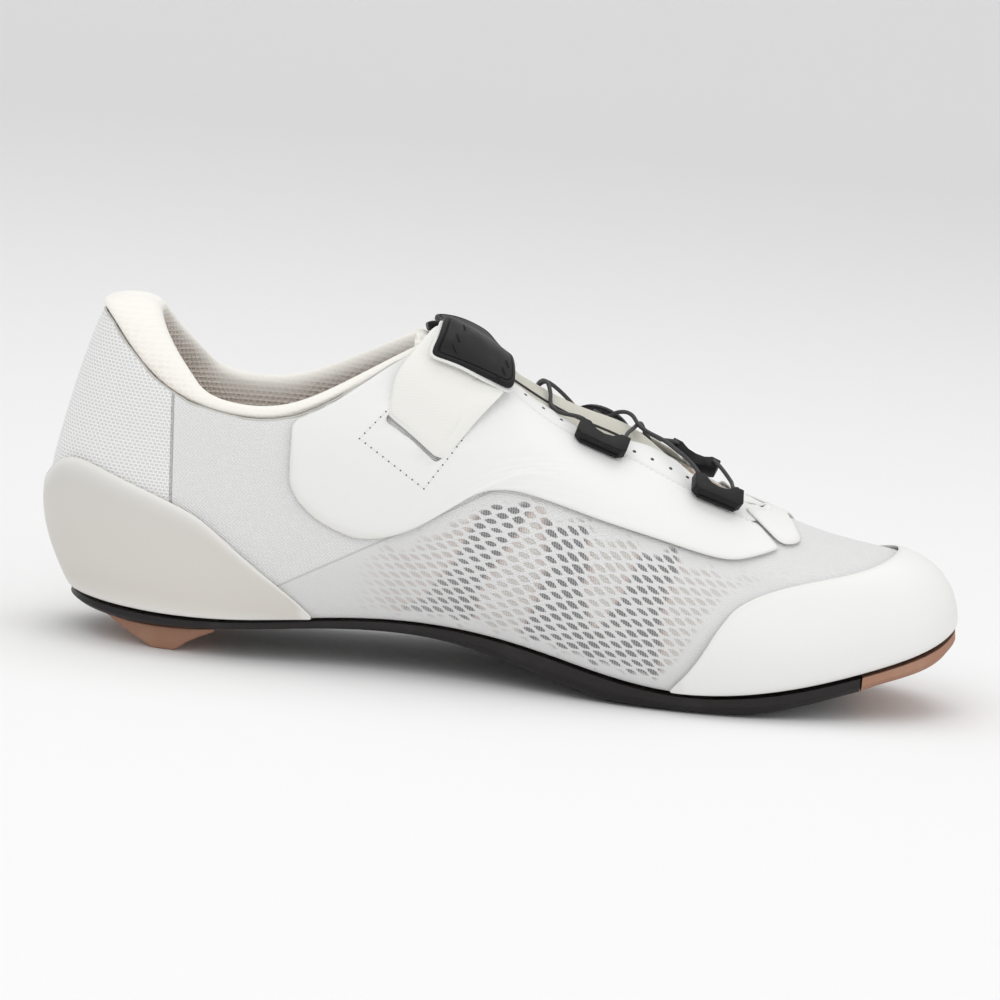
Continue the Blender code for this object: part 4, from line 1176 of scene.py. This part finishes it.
class SHOE_OT_dial(Operator):
    """Dial with its grip and its copper base"""

    bl_idname = "shoe.dial"
    bl_label = "Dial"

    def execute(self, context):
        colours, sizes = context.scene.shoe_colours, context.scene.shoe_sizes
        trim = moulded_finish("dial_plastic", colours.trim, 0.42, 1000.0, (0.03, 0.03, 0.03))
        base = moulded_finish("dial_base_plastic", (0.60, 0.30, 0.20), 0.40, 1000.0, (0.64, 0.36, 0.26))
        bm = merged_copy("dial")
        join_flats(bm, 2.0)
        cap = max((face for face in bm.faces if face.normal.z > 0.0), key=lambda face: face.calc_area())
        axis = cap.normal.copy()
        sides = [face for face in bm.faces if abs(face.normal.dot(axis)) < 0.2]
        bmesh.ops.inset_individual(bm, faces=sides, thickness=0.00035, depth=-0.0005)
        bmesh.ops.inset_region(bm, faces=[cap], thickness=0.0012, depth=0.0)
        bmesh.ops.inset_region(bm, faces=[cap], thickness=0.0004, depth=-0.0005)
        round_edges(bm, 25.0, 0.00012, 2)
        add_piece(bm, "knurled_dial", [trim], "black_nylon", 0, ("dial",), math.radians(35.0))
        bm = merged_copy("dial_base")
        round_edges(bm, 50.0, sizes.edge_radius)
        add_piece(bm, "dial_mount", [base], "copper_plastic", 0, ("dial_base",))
        return {"FINISHED"}


class SHOE_OT_cord(Operator):
    """The closure's cord, from guide to guide"""

    bl_idname = "shoe.cord"
    bl_label = "Cord"

    def execute(self, context):
        sizes = context.scene.shoe_sizes
        finish = braid_finish(context.scene.shoe_colours)
        stands_for = {
            "lace_rear": ("cord_rear",),
            "lace_cross_low": ("cord_cross",),
            "lace_cross_high": ("cord_cross",),
            "lace_front": ("cord_front",),
        }
        for name, route in CORD_ROUTES.items():
            points = [Vector(point) for point in route]
            first, last = points[0].copy(), points[-1].copy()
            points.insert(0, first + Vector((0.0, -0.0030, -0.0012)))
            points.append(last + Vector((0.0, 0.0030, -0.0012)))
            tube(name, points, sizes.cord_diameter / 2.0, finish, "cord", stands_for[name])
        return {"FINISHED"}


class SHOE_OT_stitches(Operator):
    """Stitches and needle holes of the overlays"""

    bl_idname = "shoe.stitches"
    bl_label = "Stitches"

    def execute(self, context):
        sizes = context.scene.shoe_sizes
        threads, holes = bmesh.new(), bmesh.new()
        for side, suffix in ((INNER, "inner"), (OUTER, "outer")):
            tree = surface_tree(piece_named("smooth_eyestay_" + suffix))
            corners = [Vector((x, 0.0, z)) for x, z in WINDOW_STITCHES]
            for place, ahead in walk(corners, sizes.stitch_pitch):
                hit = from_side(tree, place.x, place.z, side)
                if hit:
                    add_dot(holes, hit[0], hit[1], sizes.hole_radius)
                middle = place + ahead * sizes.stitch_pitch / 2.0
                hit = from_side(tree, middle.x, middle.z, side)
                if hit:
                    add_stitch(threads, hit[0], hit[1], ahead, sizes)
            x = 0.006
            while x < 0.078:
                edge = edge_in_throat(tree, x, side)
                hit = from_above(tree, x, side * (edge + 0.0011)) if edge else None
                if hit:
                    add_stitch(threads, hit[0], hit[1], Vector((1.0, 0.0, -0.35)), sizes)
                x += 0.0017
        pale = plain_finish("thread", (0.74, 0.74, 0.72), 0.8)
        # Needle holes are dark discs: painted shade in the holes
        dark = plain_finish("needle_hole", (0.13, 0.13, 0.12), 0.9)
        add_piece(threads, "thread_stitches", [pale], "white_skin")
        bmesh.ops.recalc_face_normals(holes, faces=holes.faces)
        add_piece(holes, "needle_holes", [dark], "white_skin")
        return {"FINISHED"}


class SHOE_PT_sidebar(Panel):
    """Sizes, colours and steps of the shoe"""

    bl_idname = "SHOE_PT_sidebar"
    bl_label = "Shoe"
    bl_space_type = "VIEW_3D"
    bl_region_type = "UI"
    bl_category = "Shoe"

    def draw(self, context):
        for group in (context.scene.shoe_colours, context.scene.shoe_sizes):
            box = self.layout.box()
            for name in group.__annotations__:
                box.prop(group, name)
        for operator in STEPS:
            self.layout.operator(operator.bl_idname)


STEPS = (
    SHOE_OT_stage,
    SHOE_OT_upper,
    SHOE_OT_overlays,
    SHOE_OT_collar,
    SHOE_OT_tongue,
    SHOE_OT_sole,
    SHOE_OT_strap,
    SHOE_OT_guides,
    SHOE_OT_dial,
    SHOE_OT_cord,
    SHOE_OT_stitches,
)
CLASSES = (ShoeColours, ShoeSizes, *STEPS, SHOE_PT_sidebar)


def register():
    for each in CLASSES:
        bpy.utils.register_class(each)
    bpy.types.Scene.shoe_colours = PointerProperty(type=ShoeColours)
    bpy.types.Scene.shoe_sizes = PointerProperty(type=ShoeSizes)


def unregister():
    del bpy.types.Scene.shoe_sizes
    del bpy.types.Scene.shoe_colours
    for each in reversed(CLASSES):
        bpy.utils.unregister_class(each)


def main():
    register()
    for step in STEPS:
        group, name = step.bl_idname.split(".")
        getattr(getattr(bpy.ops, group), name)()


if __name__ == "__main__":
    main()
